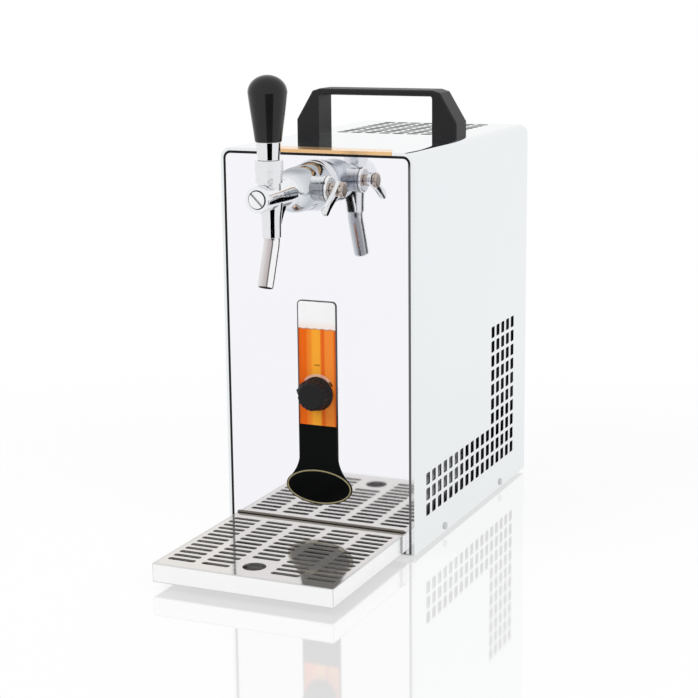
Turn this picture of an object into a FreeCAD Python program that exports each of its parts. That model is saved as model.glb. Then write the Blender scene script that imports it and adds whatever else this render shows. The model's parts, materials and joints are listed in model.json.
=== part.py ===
import FreeCAD, Part
import math
import os

# Over-counter beer cooler with one compensator tap, millimetres.
# Each piece is built in the casing frame: X across and centred, Y to the
# rear from the front panel's face, Z up from the casing's lower edge.
# save() then moves it so that the origin is under the middle of the whole.

V = FreeCAD.Vector

# Casing
body_w = 172.0
body_d = 285.7
body_h = 332.8
bend_r = 9.0
sheet_t = 1.2
hem_t = 2.5
hem_d = 8.0
fit_gap = 0.3
face_gap = 0.15

# Side vents, an L of slots, and the field on top
slot_w = 8.4
slot_h = 10.4
slot_pitch = 13.43
vent_y0 = 26.9
vent_z0 = 26.3
vent_cols = 17
vent_rows = 10
low_rows = 3
tall_cols = 5
top_cols = 8
top_rows = 9
top_vent_y0 = 157.0

# Floor, feet and front panel
foot_h = 3.0
rail_h = 2.1
rail_w = 12.0
rail_x = 60.0
foot_r = 9.0
foot_inset_x = 20.0
foot_inset_y = 24.0
pan_t = 1.0
bay_top = 19.0
floor_t = 1.2
panel_t = 1.5
panel_return = 9.0
seal_w = 2.0
seal_d = 6.0

# Side screws
side_screw_z = 5.0
side_screw_r = 1.5
side_head_r = 3.2
side_head_t = 1.4
side_screw_front = 71.0
side_screw_rear = body_d - 70.7

# Label plate and oval badge
label_x = 0.0
label_w = 35.6
label_top = 209.3
label_t = 0.8
label_corner = 4.0
badge_z = 50.15
badge_a = 30.2
badge_b = 15.35
neck_flare_z = 73.9

# Thermostat knob and its works
knob_z = 130.95
knob_r = 13.0
knob_len = 14.3
knob_gap = 0.6
knob_shaft_r = 3.0
flute_n = 10
flute_r = 2.2
run_fit = 0.05
bush_r = 4.5
stat_w = 38.0
stat_h = 30.0
stat_d = 26.0
stat_gap = 6.0
stat_room = 3.0
ear_w = 8.0
ear_h = 12.0

# Carrying handle
grip_w = body_w - 21.2
grip_y = 123.4
grip_d = 26.4
grip_h = 41.0
grip_leg = 22.0
grip_bar = 4.6
grip_low = 13.6
grip_slant_x = 15.4
grip_slant_z = 25.3
grip_belly = 1.6
grip_flat = 7.0
grip_screw_r = 2.5
grip_screw_len = 14.0

# Strip on top
strip_w = body_w - 57.4
strip_y = 15.0
strip_d = 36.5
strip_t = 0.4

# Drip tray and its grid
tray_out = 144.7
tray_w = body_w - 15.2
tray_l = 168.0
tray_z = pan_t + rail_h + fit_gap
tray_h = 15.3
tray_t = 1.2
grid_t = 1.2
grid_rear = 2.2
grid_slot_l = 24.4
grid_slot_w = 5.6
grid_cols = 5
grid_rows = 13
grid_col_pitch = 30.4
grid_row_pitch = 9.35
grid_first = 16.2
hole_r = 9.5
hole_from_front = 23.3
hole_rows = 3
ledge_w = 2.5

# Tap: heights and reach from the front panel
tap_z = body_h - 28.2
lever_y = -82.3
flange_r = 21.5
flange_t = 5.9
ring_l = 17.4
ring_r = 19.6
barrel_r = 18.1
bulb_l = 13.4
waist_r = 10.4
waist_y = -59.7
nose_r = 10.3
nose_y = -103.5
plug_r = 7.2
plug_l = 8.0
plug_proud = 0.8
shank_r = 11.0
shank_bore = 5.0
shank_in = 40.0
nut_r = 17.0
nut_l = 8.0
neck_r = 8.8
collar_r = 10.5
collar_z = tap_z + 11.1
pivot_z = tap_z + 13.1
dome_r = 12.7
ball_r = 6.0
lever_tilt = 30.0
rod_r = 3.0
low_rod_r = 2.5
low_ball_r = 3.0
lever_pin_r = 1.5
lever_pin_half = 7.6
cap_r = 11.0
cap_top = tap_z + 28.2
ferrule_top = tap_z + 42.2
ferrule_r0 = 8.5
ferrule_r1 = 9.7
handle_r0 = 10.3
handle_r1 = 15.2
handle_wide_z = tap_z + 79.5
handle_top = tap_z + 92.8
rod_in_handle = 18.0
piston_r = 5.8
piston_front = lever_y - 11.0
piston_rear = lever_y + 17.8
chamber_r = 12.5
chamber_y = -24.0
sleeve_r = 7.4
sleeve_y = -79.6
sleeve_z = tap_z - 31.8
web_half = 4.5
spout_r = 6.35
spout_bore = 5.35
spout_in = 8.0
spout_bend_r = 19.5
spout_lean = 21.0
spout_end_z = tap_z - 69.2

# Compensator at the tap's right-hand side
comp_y = -33.4
comp_dz = 1.6
comp_r = 10.0
comp_body_x = 23.5
comp_end_x = 29.7
stem_r = 4.0
stem_knob_r = 6.2
stem_knob_x0 = 38.0
stem_end_x = 41.5
pin_off = 2.0
pin_r = 1.5
comp_arm_l = 27.2
comp_arm_w = 7.4
comp_arm_t = 3.8
comp_arm_x = 33.6
comp_arm_drop = 31.0

# Cooling block, foam and their bracket
foam_side_gap = 7.0
foam_top_gap = 7.0
works_d = 156.7
foam_w = body_w - 2 * foam_side_gap
foam_y = 12.0
foam_d = body_d - foam_y - works_d
foam_z = 72.0
foam_h = body_h - foam_z - foam_top_gap
foam_side_wall = 22.0
foam_front_wall = 20.5
foam_lid = 23.0
block_w = foam_w - 2 * foam_side_wall
block_d = foam_d - 2 * foam_front_wall
block_h = foam_h - 2 * foam_lid
port_l = 30.0
bracket_t = 1.2

# Compressor and what stands round it
comp_cx = 0.0
comp_gap = 15.7
shell_r = 50.0
shell_seam = 2.0
comp_cy = foam_y + foam_d + comp_gap + shell_r + shell_seam
shell_top = 158.0
shell_foot = 22.0
shell_round = 16.0
mount_h = 8.0
mount_r = 7.5
mount_x = body_w / 2.0 - 33.0
mount_y = 40.0
plate_t = 2.0

# Condenser and fan
cond_side_gap = 19.0
cond_rear_gap = 13.0
cond_top_gap = 15.0
cond_w = body_w - 2 * cond_side_gap
cond_d = 24.0
cond_y = body_d - cond_d - cond_rear_gap
cond_z = 176.0
cond_h = body_h - cond_z - cond_top_gap
fin_n = 22
fin_gap = 3.6
fin_depth = 20.0
fan_z = cond_z + cond_h / 2.0
fan_ring_r = 58.0
fan_r = 54.0
fan_y = cond_y - 22.0
fan_w = 12.0
hub_r = 14.0
blade_n = 5
blade_chord = 22.0
blade_t = 1.6
blade_pitch = 28.0
motor_r = 19.0
motor_l = 21.0
motor_shaft_r = 2.5
motor_bore_l = 13.0

# Pipes
pipe_r = 2.8
capillary_r = 1.5
beer_r = 4.75
drier_r = 7.0
drier_l = 58.0
drier_z = 78.0
drier_gap = 8.5
line_gap = 7.5
line_y = foam_y + foam_d + line_gap
drier_y = line_y + drier_gap
face_end = 0.1
cond_low = 14.0
high_line_z = foam_z + foam_h - 116.0
suction_z = 80.0
discharge_z = 86.0
capillary_in = 18.0
suction_in = 26.0
beer_in_z = 20.0
inlet_stub = 12.0
side_pipe_x = cond_w / 2.0 + 8.0
beer_x = 15.0 - body_w / 2.0
beer_z = 45.0
rear_reach = 16.0
inlet_flange_r = 9.0
inlet_flange_t = 4.0
gland_x = body_w / 2.0 - 25.0
gland_r = 8.0
gland_l = 9.0

# Origin under the middle of the whole, tray drawn out
front_y = -(body_d + rear_reach - tray_out) / 2.0
inner_x = body_w / 2.0 - sheet_t
rear_in = body_d - 1.2


def box(x0, x1, y0, y1, z0, z1):
    return Part.makeBox(x1 - x0, y1 - y0, z1 - z0, V(x0, y0, z0))


def rod(r, length, p, d):
    return Part.makeCylinder(r, length, p, d)


def arc(a, b, c):
    return Part.Arc(a, b, c).toShape()


def seg(a, b):
    return Part.LineSegment(a, b).toShape()


def loop(points):
    return Part.makePolygon(points + [points[0]])


def prism(points, d):
    return Part.Face(loop(points)).extrude(d)


def turned_y(profile, z):
    """Solid turned about the tap's axis: profile holds (y, r) pairs."""
    points = [V(0, y, z + r) for y, r in profile]
    return Part.Face(loop(points)).revolve(V(0, 0, z), V(0, 1, 0), 360)


def turned_z(profile, x, y):
    """Solid turned about an upright axis: profile holds (r, z) pairs."""
    points = [V(x + r, y, z) for r, z in profile]
    return Part.Face(loop(points)).revolve(V(x, y, 0), V(0, 0, 1), 360)


def arch(half, z0, z1, r, y0, y1, cx=0.0):
    """Plate with rounded upper corners, standing across the casing."""
    q = r * (1 - math.sqrt(0.5))
    x0, x1 = cx - half, cx + half
    edges = [
        seg(V(x0, y0, z0), V(x0, y0, z1 - r)),
        arc(V(x0, y0, z1 - r), V(x0 + q, y0, z1 - q), V(x0 + r, y0, z1)),
        seg(V(x0 + r, y0, z1), V(x1 - r, y0, z1)),
        arc(V(x1 - r, y0, z1), V(x1 - q, y0, z1 - q), V(x1, y0, z1 - r)),
        seg(V(x1, y0, z1 - r), V(x1, y0, z0)),
        seg(V(x1, y0, z0), V(x0, y0, z0)),
    ]
    return Part.Face(Part.Wire(edges)).extrude(V(0, y1 - y0, 0))


def tube_path(points, bend):
    """Straight runs joined by arcs of one bend radius."""
    edges = []
    start = points[0]
    for i in range(1, len(points) - 1):
        a = (points[i - 1] - points[i]).normalize()
        b = (points[i + 1] - points[i]).normalize()
        half = a.getAngle(b) / 2.0
        cut = bend / math.tan(half)
        p0 = points[i] + a * cut
        p1 = points[i] + b * cut
        mid = (a + b).normalize()
        centre = points[i] + mid * (bend / math.sin(half))
        edges.append(seg(start, p0))
        edges.append(arc(p0, centre - mid * bend, p1))
        start = p1
    edges.append(seg(start, points[-1]))
    return Part.Wire(edges)


def bent_rod(points, bend, r):
    path = tube_path(points, bend)
    d = (points[1] - points[0]).normalize()
    ring = Part.Wire(Part.makeCircle(r, points[0], d))
    return path.makePipeShell([ring], True, False)


def dome_mid(r, z0, z1):
    """Point halfway along a round cap of radius r at z0 that closes at z1."""
    rise = z1 - z0
    big = (r * r + rise * rise) / (2.0 * rise)
    a = math.acos((big - rise) / big) / 2.0
    return big * math.sin(a), z1 - big + big * math.cos(a)


def save(name, shape):
    moved = shape.copy()
    moved.translate(V(0, front_y, foot_h))
    moved.exportStep("parts/%s.step" % name)


def one(shape):
    return shape.removeSplitter()


# Casing

def casing_cover():
    half = body_w / 2.0
    shell = arch(half, 0, body_h, bend_r, 0, body_d)
    shell = shell.cut(arch(inner_x, -1, body_h - sheet_t, bend_r - sheet_t, hem_d, body_d + 1))
    shell = shell.cut(arch(half - hem_t, -1, body_h - hem_t, bend_r - hem_t, -1, hem_d))
    cuts = []
    for col in range(vent_cols):
        rows = vent_rows if col >= vent_cols - tall_cols else low_rows
        y = vent_y0 + col * slot_pitch
        for row in range(rows):
            z = vent_z0 + row * slot_pitch
            cuts.append(box(-half - 1, half + 1, y, y + slot_w, z, z + slot_h))
    span = (top_cols - 1) * slot_pitch + slot_h
    for col in range(top_cols):
        x = -span / 2.0 + col * slot_pitch
        for row in range(top_rows):
            y = top_vent_y0 + row * slot_pitch
            cuts.append(box(x, x + slot_h, y, y + slot_w, body_h - 5, body_h + 1))
    for side in (-1, 1):
        x = side * grip_hole_x()
        p = V(x, grip_y + grip_d / 2.0, body_h - 5)
        cuts.append(rod(grip_screw_r + fit_gap, 8, p, V(0, 0, 1)))
        for y in side_screw_ys():
            p = V(side * (half - 5), y, side_screw_z)
            cuts.append(rod(side_screw_r + face_gap, 8, p, V(side, 0, 0)))
    return shell.cut(Part.makeCompound(cuts))


def side_screw_ys():
    return (side_screw_front, side_screw_rear)


def side_screw(side, y):
    half = body_w / 2.0
    head = rod(side_head_r, side_head_t, V(side * half, y, side_screw_z), V(side, 0, 0))
    edge = head.Edges[0] if abs(head.Edges[0].CenterOfMass.x) > half + 0.1 else head.Edges[2]
    head = head.makeFillet(side_head_t * 0.6, [edge])
    length = sheet_t + fit_gap + pan_t + 1.0
    stem = rod(side_screw_r, length, V(side * half, y, side_screw_z), V(-side, 0, 0))
    return head.fuse(stem)


def hem_notches():
    """Clearance for the casing's two front hems."""
    half = body_w / 2.0
    x = half - hem_t - face_gap
    notches = []
    for side in (-1, 1):
        x0 = min(side * x, side * half)
        notches.append(box(x0, x0 + half - x, -1, hem_d + face_gap, -1, bay_top + 5))
    return notches


def base_pan():
    x = inner_x - fit_gap
    outer = box(-x, x, 0, rear_in, 0, bay_top)
    room = box(-x + pan_t, x - pan_t, -1, rear_in - pan_t, pan_t, bay_top + 1)
    pan = outer.cut(room)
    for side in (-1, 1):
        cx = side * rail_x
        pan = pan.fuse(box(cx - rail_w / 2, cx + rail_w / 2, 0, rear_in - pan_t, 0, pan_t + rail_h))
    cuts = hem_notches()
    for side in (-1, 1):
        for y in side_screw_ys():
            p = V(side * (x - 5), y, side_screw_z)
            cuts.append(rod(side_screw_r + face_gap, 8, p, V(side, 0, 0)))
    return one(pan.cut(Part.makeCompound(cuts)))


def foot(side, rear):
    x = side * (body_w / 2.0 - foot_inset_x)
    y = body_d - foot_inset_y if rear else foot_inset_y
    r = foot_r
    profile = [(0, -foot_h), (r - 0.8, -foot_h), (r, -foot_h + 0.8), (r, 0), (0, 0)]
    return turned_z(profile, x, y)


def chassis_floor():
    x = inner_x - fit_gap
    plate = box(-x, x, panel_t + 0.5, rear_in - pan_t, bay_top, bay_top + floor_t)
    return one(plate.cut(hem_notches()).fuse(block_stand()))


def panel_half():
    return body_w / 2.0 - hem_t - face_gap - seal_w


def panel_top():
    return body_h - hem_t - face_gap - seal_w


def panel_corner():
    return bend_r - hem_t - face_gap - seal_w


def front_panel():
    half = panel_half()
    top = panel_top()
    low = bay_top + floor_t
    corner = panel_corner()
    plate = arch(half, low, top, corner, 0, panel_t)
    back = arch(half, low, top, corner, panel_t, panel_return)
    room = arch(half - sheet_t, low - 1, top - sheet_t, corner - sheet_t, panel_t, panel_return + 1)
    plate = plate.fuse(back.cut(room))
    plate = plate.cut(rod(shank_r + fit_gap, 5, V(0, -1, tap_z), V(0, 1, 0)))
    return plate.cut(rod(bush_r + fit_gap, 5, V(label_x, -1, knob_z), V(0, 1, 0)))


def panel_seal():
    half = panel_half()
    top = panel_top()
    low = bay_top + floor_t
    corner = panel_corner()
    outer = arch(half + seal_w, low, top + seal_w, corner + seal_w, 0, seal_d)
    return outer.cut(arch(half, low - 1, top, corner, -1, seal_d + 1))


def rear_panel():
    x = inner_x - fit_gap
    top = body_h - sheet_t - fit_gap
    plate = arch(x, bay_top + floor_t, top, bend_r - sheet_t - fit_gap, rear_in - pan_t, rear_in)
    cuts = []
    for col in range(3):
        for row in range(8):
            px = (col - 1) * 40.0
            pz = fan_z + (row - 3.5) * 14.0
            cuts.append(box(px - 15, px + 15, rear_in - 5, rear_in + 1, pz - 2.5, pz + 2.5))
    cuts.append(rod(beer_r + face_gap, 8, V(beer_x, rear_in - 5, beer_z), V(0, 1, 0)))
    cuts.append(rod(gland_r - 1.5, 8, V(gland_x, rear_in - 5, beer_z), V(0, 1, 0)))
    return plate.cut(Part.makeCompound(cuts))


# Handle and strip

def grip_hole_x():
    return grip_w / 2.0 - grip_leg / 2.0


def carry_handle():
    h = grip_w / 2.0
    z = body_h
    sx = h - grip_slant_x
    sz = z + grip_low + grip_slant_z
    top = z + grip_h
    leg = h - grip_leg
    under = top - grip_bar
    outer = [
        V(-h, grip_y, z), V(-h, grip_y, z + grip_low), V(-sx, grip_y, sz),
        V(grip_flat - sx, grip_y, top), V(sx - grip_flat, grip_y, top), V(sx, grip_y, sz),
        V(h, grip_y, z + grip_low), V(h, grip_y, z),
    ]
    body = prism(outer, V(0, grip_d, 0))
    gap = box(-leg, leg, grip_y - 1, grip_y + grip_d + 1, z - 1, under)
    inner = [e for e in gap.Edges if abs(e.CenterOfMass.z - under) < 0.1
             and abs(abs(e.CenterOfMass.x) - leg) < 0.1]
    body = body.cut(gap.makeFillet(3.0, inner))
    long_edges = []
    for e in body.Edges:
        c = e.CenterOfMass
        flat = abs(c.y - grip_y) < 0.1 or abs(c.y - grip_y - grip_d) < 0.1
        outside = abs(c.x) > leg + 1 or c.z > under + 1
        if flat and outside and c.z > z + 1:
            long_edges.append(e)
    body = body.makeFillet(2.0, long_edges)
    mid = grip_y + grip_d / 2.0
    bow = grip_d * 0.32
    a = V(-leg, mid - bow, under)
    b = V(-leg, mid, under - grip_belly)
    c = V(-leg, mid + bow, under)
    belly = Part.Face(Part.Wire([arc(a, b, c), seg(c, a)])).extrude(V(2 * leg, 0, 0))
    body = body.fuse(belly)
    for side in (-1, 1):
        p = V(side * grip_hole_x(), mid, z - 1)
        body = body.cut(rod(grip_screw_r + face_gap, grip_screw_len + 2, p, V(0, 0, 1)))
    return body


def grip_screw(side):
    x = side * grip_hole_x()
    y = grip_y + grip_d / 2.0
    low = body_h - sheet_t
    head = rod(grip_screw_r * 1.9, 3.0, V(x, y, low - 3.0), V(0, 0, 1))
    return head.fuse(rod(grip_screw_r, sheet_t + grip_screw_len, V(x, y, low), V(0, 0, 1)))


def top_strip():
    half = strip_w / 2.0
    return box(-half, half, strip_y, strip_y + strip_d, body_h, body_h + strip_t)


# Label, badge and thermostat

def ellipse_plate(a, b, y0, y1):
    curve = Part.Ellipse(V(label_x, y0, badge_z), a, b)
    curve.Axis = V(0, -1, 0)
    curve.XAxis = V(1, 0, 0)
    return Part.Face(Part.Wire(curve.toShape())).extrude(V(0, y1 - y0, 0))


def label_plate():
    half = label_w / 2.0
    strip = arch(half, badge_z, label_top, label_corner, -label_t, 0, label_x)
    oval = ellipse_plate(badge_a, badge_b, -label_t, 0)
    y = -label_t
    foot_x = badge_a * 0.86
    foot_z = badge_z + badge_b * 0.5
    pieces = [strip, oval]
    for side in (-1, 1):
        top = V(label_x + side * half, y, neck_flare_z)
        mid = V(label_x + side * (half + 1.9), y, neck_flare_z - 6.5)
        low = V(label_x + side * foot_x, y, foot_z)
        inside = V(label_x + side * half * 0.6, y, foot_z)
        flare = Part.Wire([arc(top, mid, low), seg(low, inside), seg(inside, top)])
        pieces.append(Part.Face(flare).extrude(V(0, label_t, 0)))
    plate = one(pieces[0].fuse(pieces[1:]))
    return plate.cut(rod(bush_r + fit_gap, 5, V(label_x, -3, knob_z), V(0, 1, 0)))


def knob_base_y():
    return -label_t - knob_gap


def thermostat_knob():
    y0 = knob_base_y()
    y1 = y0 - knob_len
    points = [
        (y0, 0), (y0, knob_r + 0.6), (y0 - 1.6, knob_r + 0.6), (y0 - 2.4, knob_r),
        (y1 + 1.2, knob_r - 1.4), (y1, knob_r - 2.6), (y1, 0),
    ]
    body = Part.Face(loop([V(label_x, y, knob_z + r) for y, r in points]))
    body = body.revolve(V(label_x, 0, knob_z), V(0, 1, 0), 360)
    for i in range(flute_n):
        a = math.radians(360.0 * i / flute_n + 8)
        r = knob_r + flute_r * 0.35
        p = V(label_x + r * math.cos(a), y0 - 3.2, knob_z + r * math.sin(a))
        body = body.cut(rod(flute_r, knob_len, p, V(0, -1, 0)))
    a = math.radians(160)
    tip = [V(0, 0, 0), V(-4, 0, 2.4), V(-4, 0, -2.4)]
    nib = prism([V(knob_r + 2.4 + q.x, y1 + 1.0, q.z) for q in tip], V(0, knob_len - 4, 0))
    nib.rotate(V(0, 0, 0), V(0, 1, 0), -math.degrees(a))
    nib.translate(V(label_x, 0, knob_z))
    body = body.fuse(nib)
    y = panel_t + stat_gap + stat_d / 2.0
    return body.fuse(rod(knob_shaft_r, y - y0 + 2, V(label_x, y, knob_z), V(0, -1, 0)))


def thermostat_body():
    y = panel_t + stat_gap
    body = box(label_x - stat_w / 2, label_x + stat_w / 2, y, y + stat_d,
               knob_z - stat_h / 2, knob_z + stat_h / 2)
    wide = label_x + stat_w / 2 + ear_w
    ears = box(label_x * 2 - wide, wide, y, y + 1.5, knob_z - ear_h / 2, knob_z + ear_h / 2)
    legs = box(label_x * 2 - wide, label_x * 2 - wide + 3, panel_t, y, knob_z - ear_h / 2, knob_z + ear_h / 2)
    legs = legs.fuse(box(wide - 3, wide, panel_t, y, knob_z - ear_h / 2, knob_z + ear_h / 2))
    bush = rod(bush_r, stat_gap + panel_t + 0.5, V(label_x, y, knob_z), V(0, -1, 0))
    body = body.fuse([ears, legs, bush])
    p = V(label_x, y + stat_d / 2.0 + 1, knob_z)
    return one(body.cut(rod(knob_shaft_r + run_fit, 40, p, V(0, -1, 0))))


# Drip tray

def tray_front():
    return -tray_out


def drip_tray():
    half = tray_w / 2.0
    y0 = tray_front()
    y1 = y0 + tray_l
    z1 = tray_z + tray_h
    seat = z1 - grid_t
    pan = box(-half, half, y0, y1, tray_z, z1)
    rear = -grid_rear + face_gap
    room = box(-half + tray_t, half - tray_t, y0 + tray_t, y1 - tray_t, tray_z + tray_t, seat - tray_t)
    under = box(-half + tray_t, half - tray_t, rear + tray_t, y1 - tray_t, tray_z + tray_t, z1 - tray_t)
    pan = pan.cut([room, under])
    lid = box(-half + tray_t, half - tray_t, y0 + tray_t, rear, seat, z1 + 1)
    pan = pan.cut(lid)
    gap = box(-half + tray_t + ledge_w, half - tray_t - ledge_w,
              y0 + tray_t + ledge_w, rear - ledge_w, seat - tray_t - 0.5, seat + 0.5)
    return pan.cut(gap)


def drip_grid():
    half = tray_w / 2.0 - tray_t - face_gap
    y0 = tray_front() + tray_t + face_gap
    z0 = tray_z + tray_h - grid_t
    plate = box(-half, half, y0, -grid_rear, z0, z0 + grid_t)
    cuts = []
    for col in range(grid_cols):
        x = (col - (grid_cols - 1) / 2.0) * grid_col_pitch
        first = hole_rows if col == grid_cols // 2 else 0
        for row in range(first, grid_rows):
            y = tray_front() + grid_first + row * grid_row_pitch
            cuts.append(box(x - grid_slot_l / 2, x + grid_slot_l / 2,
                            y - grid_slot_w / 2, y + grid_slot_w / 2, z0 - 1, z0 + 3))
    p = V(0, tray_front() + hole_from_front, z0 - 1)
    cuts.append(rod(hole_r, 4, p, V(0, 0, 1)))
    return plate.cut(Part.makeCompound(cuts))


# Tap

def tap_flange():
    r = flange_r
    profile = [(0, 0), (0, r), (-1.4, r), (-flange_t, r - 2.2), (-flange_t, 0)]
    disc = turned_y(profile, tap_z)
    return disc.cut(rod(shank_r + face_gap, 10, V(0, -8, tap_z), V(0, 1, 0)))


def ring_nut():
    y0 = -flange_t
    y1 = -flange_t - ring_l
    r = ring_r
    profile = [(y0, 0), (y0, r), (y0 - 2, r + 0.4), (y1 + 3, barrel_r + 0.6), (y1, barrel_r), (y1, 0)]
    nut = turned_y(profile, tap_z)
    return nut.cut(rod(shank_r + face_gap, 40, V(0, -30, tap_z), V(0, 1, 0)))


def tap_shank():
    y0 = -flange_t - ring_l
    tube = rod(shank_r, shank_in - y0, V(0, y0, tap_z), V(0, 1, 0))
    return tube.cut(rod(shank_bore, 90, V(0, y0 - 1, tap_z), V(0, 1, 0)))


def shank_nut():
    points = []
    for i in range(6):
        a = math.radians(60 * i + 30)
        points.append(V(nut_r * math.cos(a), panel_t, tap_z + nut_r * math.sin(a)))
    nut = prism(points, V(0, nut_l, 0))
    return nut.cut(rod(shank_r + face_gap, 20, V(0, -1, tap_z), V(0, 1, 0)))


def barrel_form():
    """Outer form of the tap's barrel, bulb and nose, turned about Y."""
    y0 = -flange_t - ring_l
    y1 = y0 - bulb_l
    z = tap_z

    def p(y, r):
        return V(0, y, z + r)

    edges = [
        seg(p(y0, 0), p(y0, barrel_r)),
        seg(p(y0, barrel_r), p(y1, barrel_r)),
        arc(p(y1, barrel_r), p(y1 - 7.5, barrel_r - 1.9), p(y1 - 12, barrel_r - 5.6)),
        arc(p(y1 - 12, barrel_r - 5.6), p(y1 - 17, waist_r + 0.5), p(waist_y, waist_r)),
        seg(p(waist_y, waist_r), p(nose_y + 1.2, nose_r)),
        seg(p(nose_y + 1.2, nose_r), p(nose_y, nose_r - 1.2)),
        seg(p(nose_y, nose_r - 1.2), p(nose_y, 0)),
        seg(p(nose_y, 0), p(y0, 0)),
    ]
    return Part.Face(Part.Wire(edges)).revolve(V(0, 0, z), V(0, 1, 0), 360)


def comp_z():
    return tap_z + comp_dz


def lever_reach():
    return pivot_z - tap_z


def tap_body():
    body = barrel_form()
    neck = rod(neck_r, collar_z - tap_z, V(0, lever_y, tap_z), V(0, 0, 1))
    sleeve = rod(sleeve_r, tap_z - sleeve_z, V(0, sleeve_y, sleeve_z), V(0, 0, 1))
    a = V(-web_half, sleeve_y, sleeve_z + 0.5)
    b = V(-web_half, sleeve_y + sleeve_r + 3, sleeve_z + 0.5)
    c = V(-web_half, sleeve_y + 20, sleeve_z + 14)
    d = V(-web_half, sleeve_y + 32, sleeve_z + 27)
    e = V(-web_half, sleeve_y + 32, tap_z)
    f = V(-web_half, sleeve_y, tap_z)
    web = Part.Wire([seg(a, b), arc(b, c, d), seg(d, e), seg(e, f), seg(f, a)])
    web = Part.Face(web).extrude(V(2 * web_half, 0, 0))
    side = rod(comp_r, comp_body_x, V(0, comp_y, comp_z()), V(1, 0, 0))
    y0 = -flange_t - ring_l
    side = side.cut(box(-1, comp_body_x + 1, y0, 0, tap_z - 30, tap_z + 30))
    body = body.fuse([neck, sleeve, web, side])
    chamber = turned_y([(y0 + 1, 0), (y0 + 1, chamber_r), (comp_y - 7, chamber_r),
                        (waist_y + 3, piston_r + run_fit), (waist_y + 3, 0)], tap_z)
    bore = rod(piston_r + run_fit, waist_y + 4 - nose_y, V(0, nose_y - 1, tap_z), V(0, 1, 0))
    seat = rod(plug_r + face_gap, plug_l + 1, V(0, nose_y - 1, tap_z), V(0, 1, 0))
    throat = rod(ball_r + fit_gap, collar_z - tap_z + 1, V(0, lever_y, tap_z), V(0, 0, 1))
    swing = prism(swing_points(-1, low_rod_r), V(2 * (low_rod_r + 0.5), 0, 0))
    outlet = rod(spout_bore, tap_z - sleeve_z + 1, V(0, sleeve_y, sleeve_z - 1), V(0, 0, 1))
    socket = rod(spout_r + face_gap, spout_in + 1, V(0, sleeve_y, sleeve_z - 1), V(0, 0, 1))
    stem = rod(stem_r + run_fit, comp_body_x + 1, V(0, comp_y, comp_z()), V(1, 0, 0))
    return body.cut([chamber, bore, seat, throat, swing, outlet, socket, stem])


def swing_points(way, r):
    """Room that the tilting rod sweeps, above (way 1) or below the pivot."""
    t = math.tan(math.radians(lever_tilt))
    s = r / math.cos(math.radians(lever_tilt)) + 0.5
    reach = lever_reach() + low_ball_r + 1.0
    x = -(r + 0.5)
    back = V(x, lever_y + way * (r + 0.4), pivot_z)
    tall = V(x, lever_y + way * (r + 0.4), pivot_z + way * reach)
    far = V(x, lever_y - way * (s + reach * t), pivot_z + way * reach)
    near = V(x, lever_y - way * s, pivot_z)
    return [back, tall, far, near]


def neck_collar():
    z1 = pivot_z + math.sqrt(dome_r ** 2 - collar_r ** 2)
    ring = rod(collar_r, z1 - collar_z, V(0, lever_y, collar_z), V(0, 0, 1))
    dome = Part.makeSphere(dome_r, V(0, lever_y, pivot_z))
    cap = box(-20, 20, lever_y - 20, lever_y + 20, z1, pivot_z + dome_r - 2.0)
    ring = ring.fuse(dome.common(cap))
    throat = rod(ball_r + fit_gap, pivot_z - collar_z + 6, V(0, lever_y, collar_z - 1), V(0, 0, 1))
    swing = prism(swing_points(1, rod_r), V(2 * (rod_r + 0.5), 0, 0))
    half = lever_pin_half + fit_gap
    r = lever_pin_r + run_fit
    hole = rod(r, 2 * half, V(-half, lever_y, pivot_z), V(1, 0, 0))
    slot = box(-half, half, lever_y - r, lever_y + r, collar_z - 1, pivot_z)
    return one(ring.cut([throat, swing, hole, slot]))


def tap_plug():
    face = nose_y - plug_proud
    plug = rod(plug_r, plug_l + plug_proud, V(0, face, tap_z), V(0, 1, 0))
    rim = plug.Edges[0] if plug.Edges[0].CenterOfMass.y < face + 0.1 else plug.Edges[2]
    plug = plug.makeFillet(0.5, [rim])
    slot = box(-plug_r, plug_r, face - 1, face + 1.2, -0.7, 0.7)
    slot.rotate(V(0, 0, 0), V(0, 1, 0), 45)
    slot.translate(V(0, 0, tap_z))
    return plug.cut(slot)


def piston():
    body = rod(piston_r, piston_rear - piston_front, V(0, piston_front, tap_z), V(0, 1, 0))
    w = low_ball_r + 0.3
    g = w + 0.3
    tall = piston_r + 2
    lean = (tall - 1.2) * math.tan(math.radians(lever_tilt + 2))
    outline = [V(-w, lever_y + g, tap_z - g), V(-w, lever_y + g, tap_z + tall),
               V(-w, lever_y - g - lean, tap_z + tall), V(-w, lever_y - g, tap_z + 1.2),
               V(-w, lever_y - g, tap_z - g)]
    slot = prism(outline, V(2 * w, 0, 0))
    groove = rod(piston_r + 1, 2.2, V(0, seal_y() - 1.1, tap_z), V(0, 1, 0))
    groove = groove.cut(rod(piston_r - 1.6, 4, V(0, seal_y() - 2, tap_z), V(0, 1, 0)))
    return body.cut([slot, groove])


def seal_y():
    return piston_rear - 3.5


def piston_seal():
    ring = Part.makeTorus((2 * piston_r - 1.5) / 2.0, 0.72, V(0, seal_y(), tap_z), V(0, 1, 0))
    return ring


def lever_core():
    ball = Part.makeSphere(ball_r, V(0, lever_y, pivot_z))
    low = rod(low_rod_r, lever_reach(), V(0, lever_y, tap_z), V(0, 0, 1))
    tip = Part.makeSphere(low_ball_r, V(0, lever_y, tap_z))
    top = ferrule_top + rod_in_handle - 1 - pivot_z
    high = rod(rod_r, top, V(0, lever_y, pivot_z), V(0, 0, 1))
    pin = rod(lever_pin_r, 2 * lever_pin_half, V(-lever_pin_half, lever_y, pivot_z), V(1, 0, 0))
    return ball.fuse([low, tip, high, pin])


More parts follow.
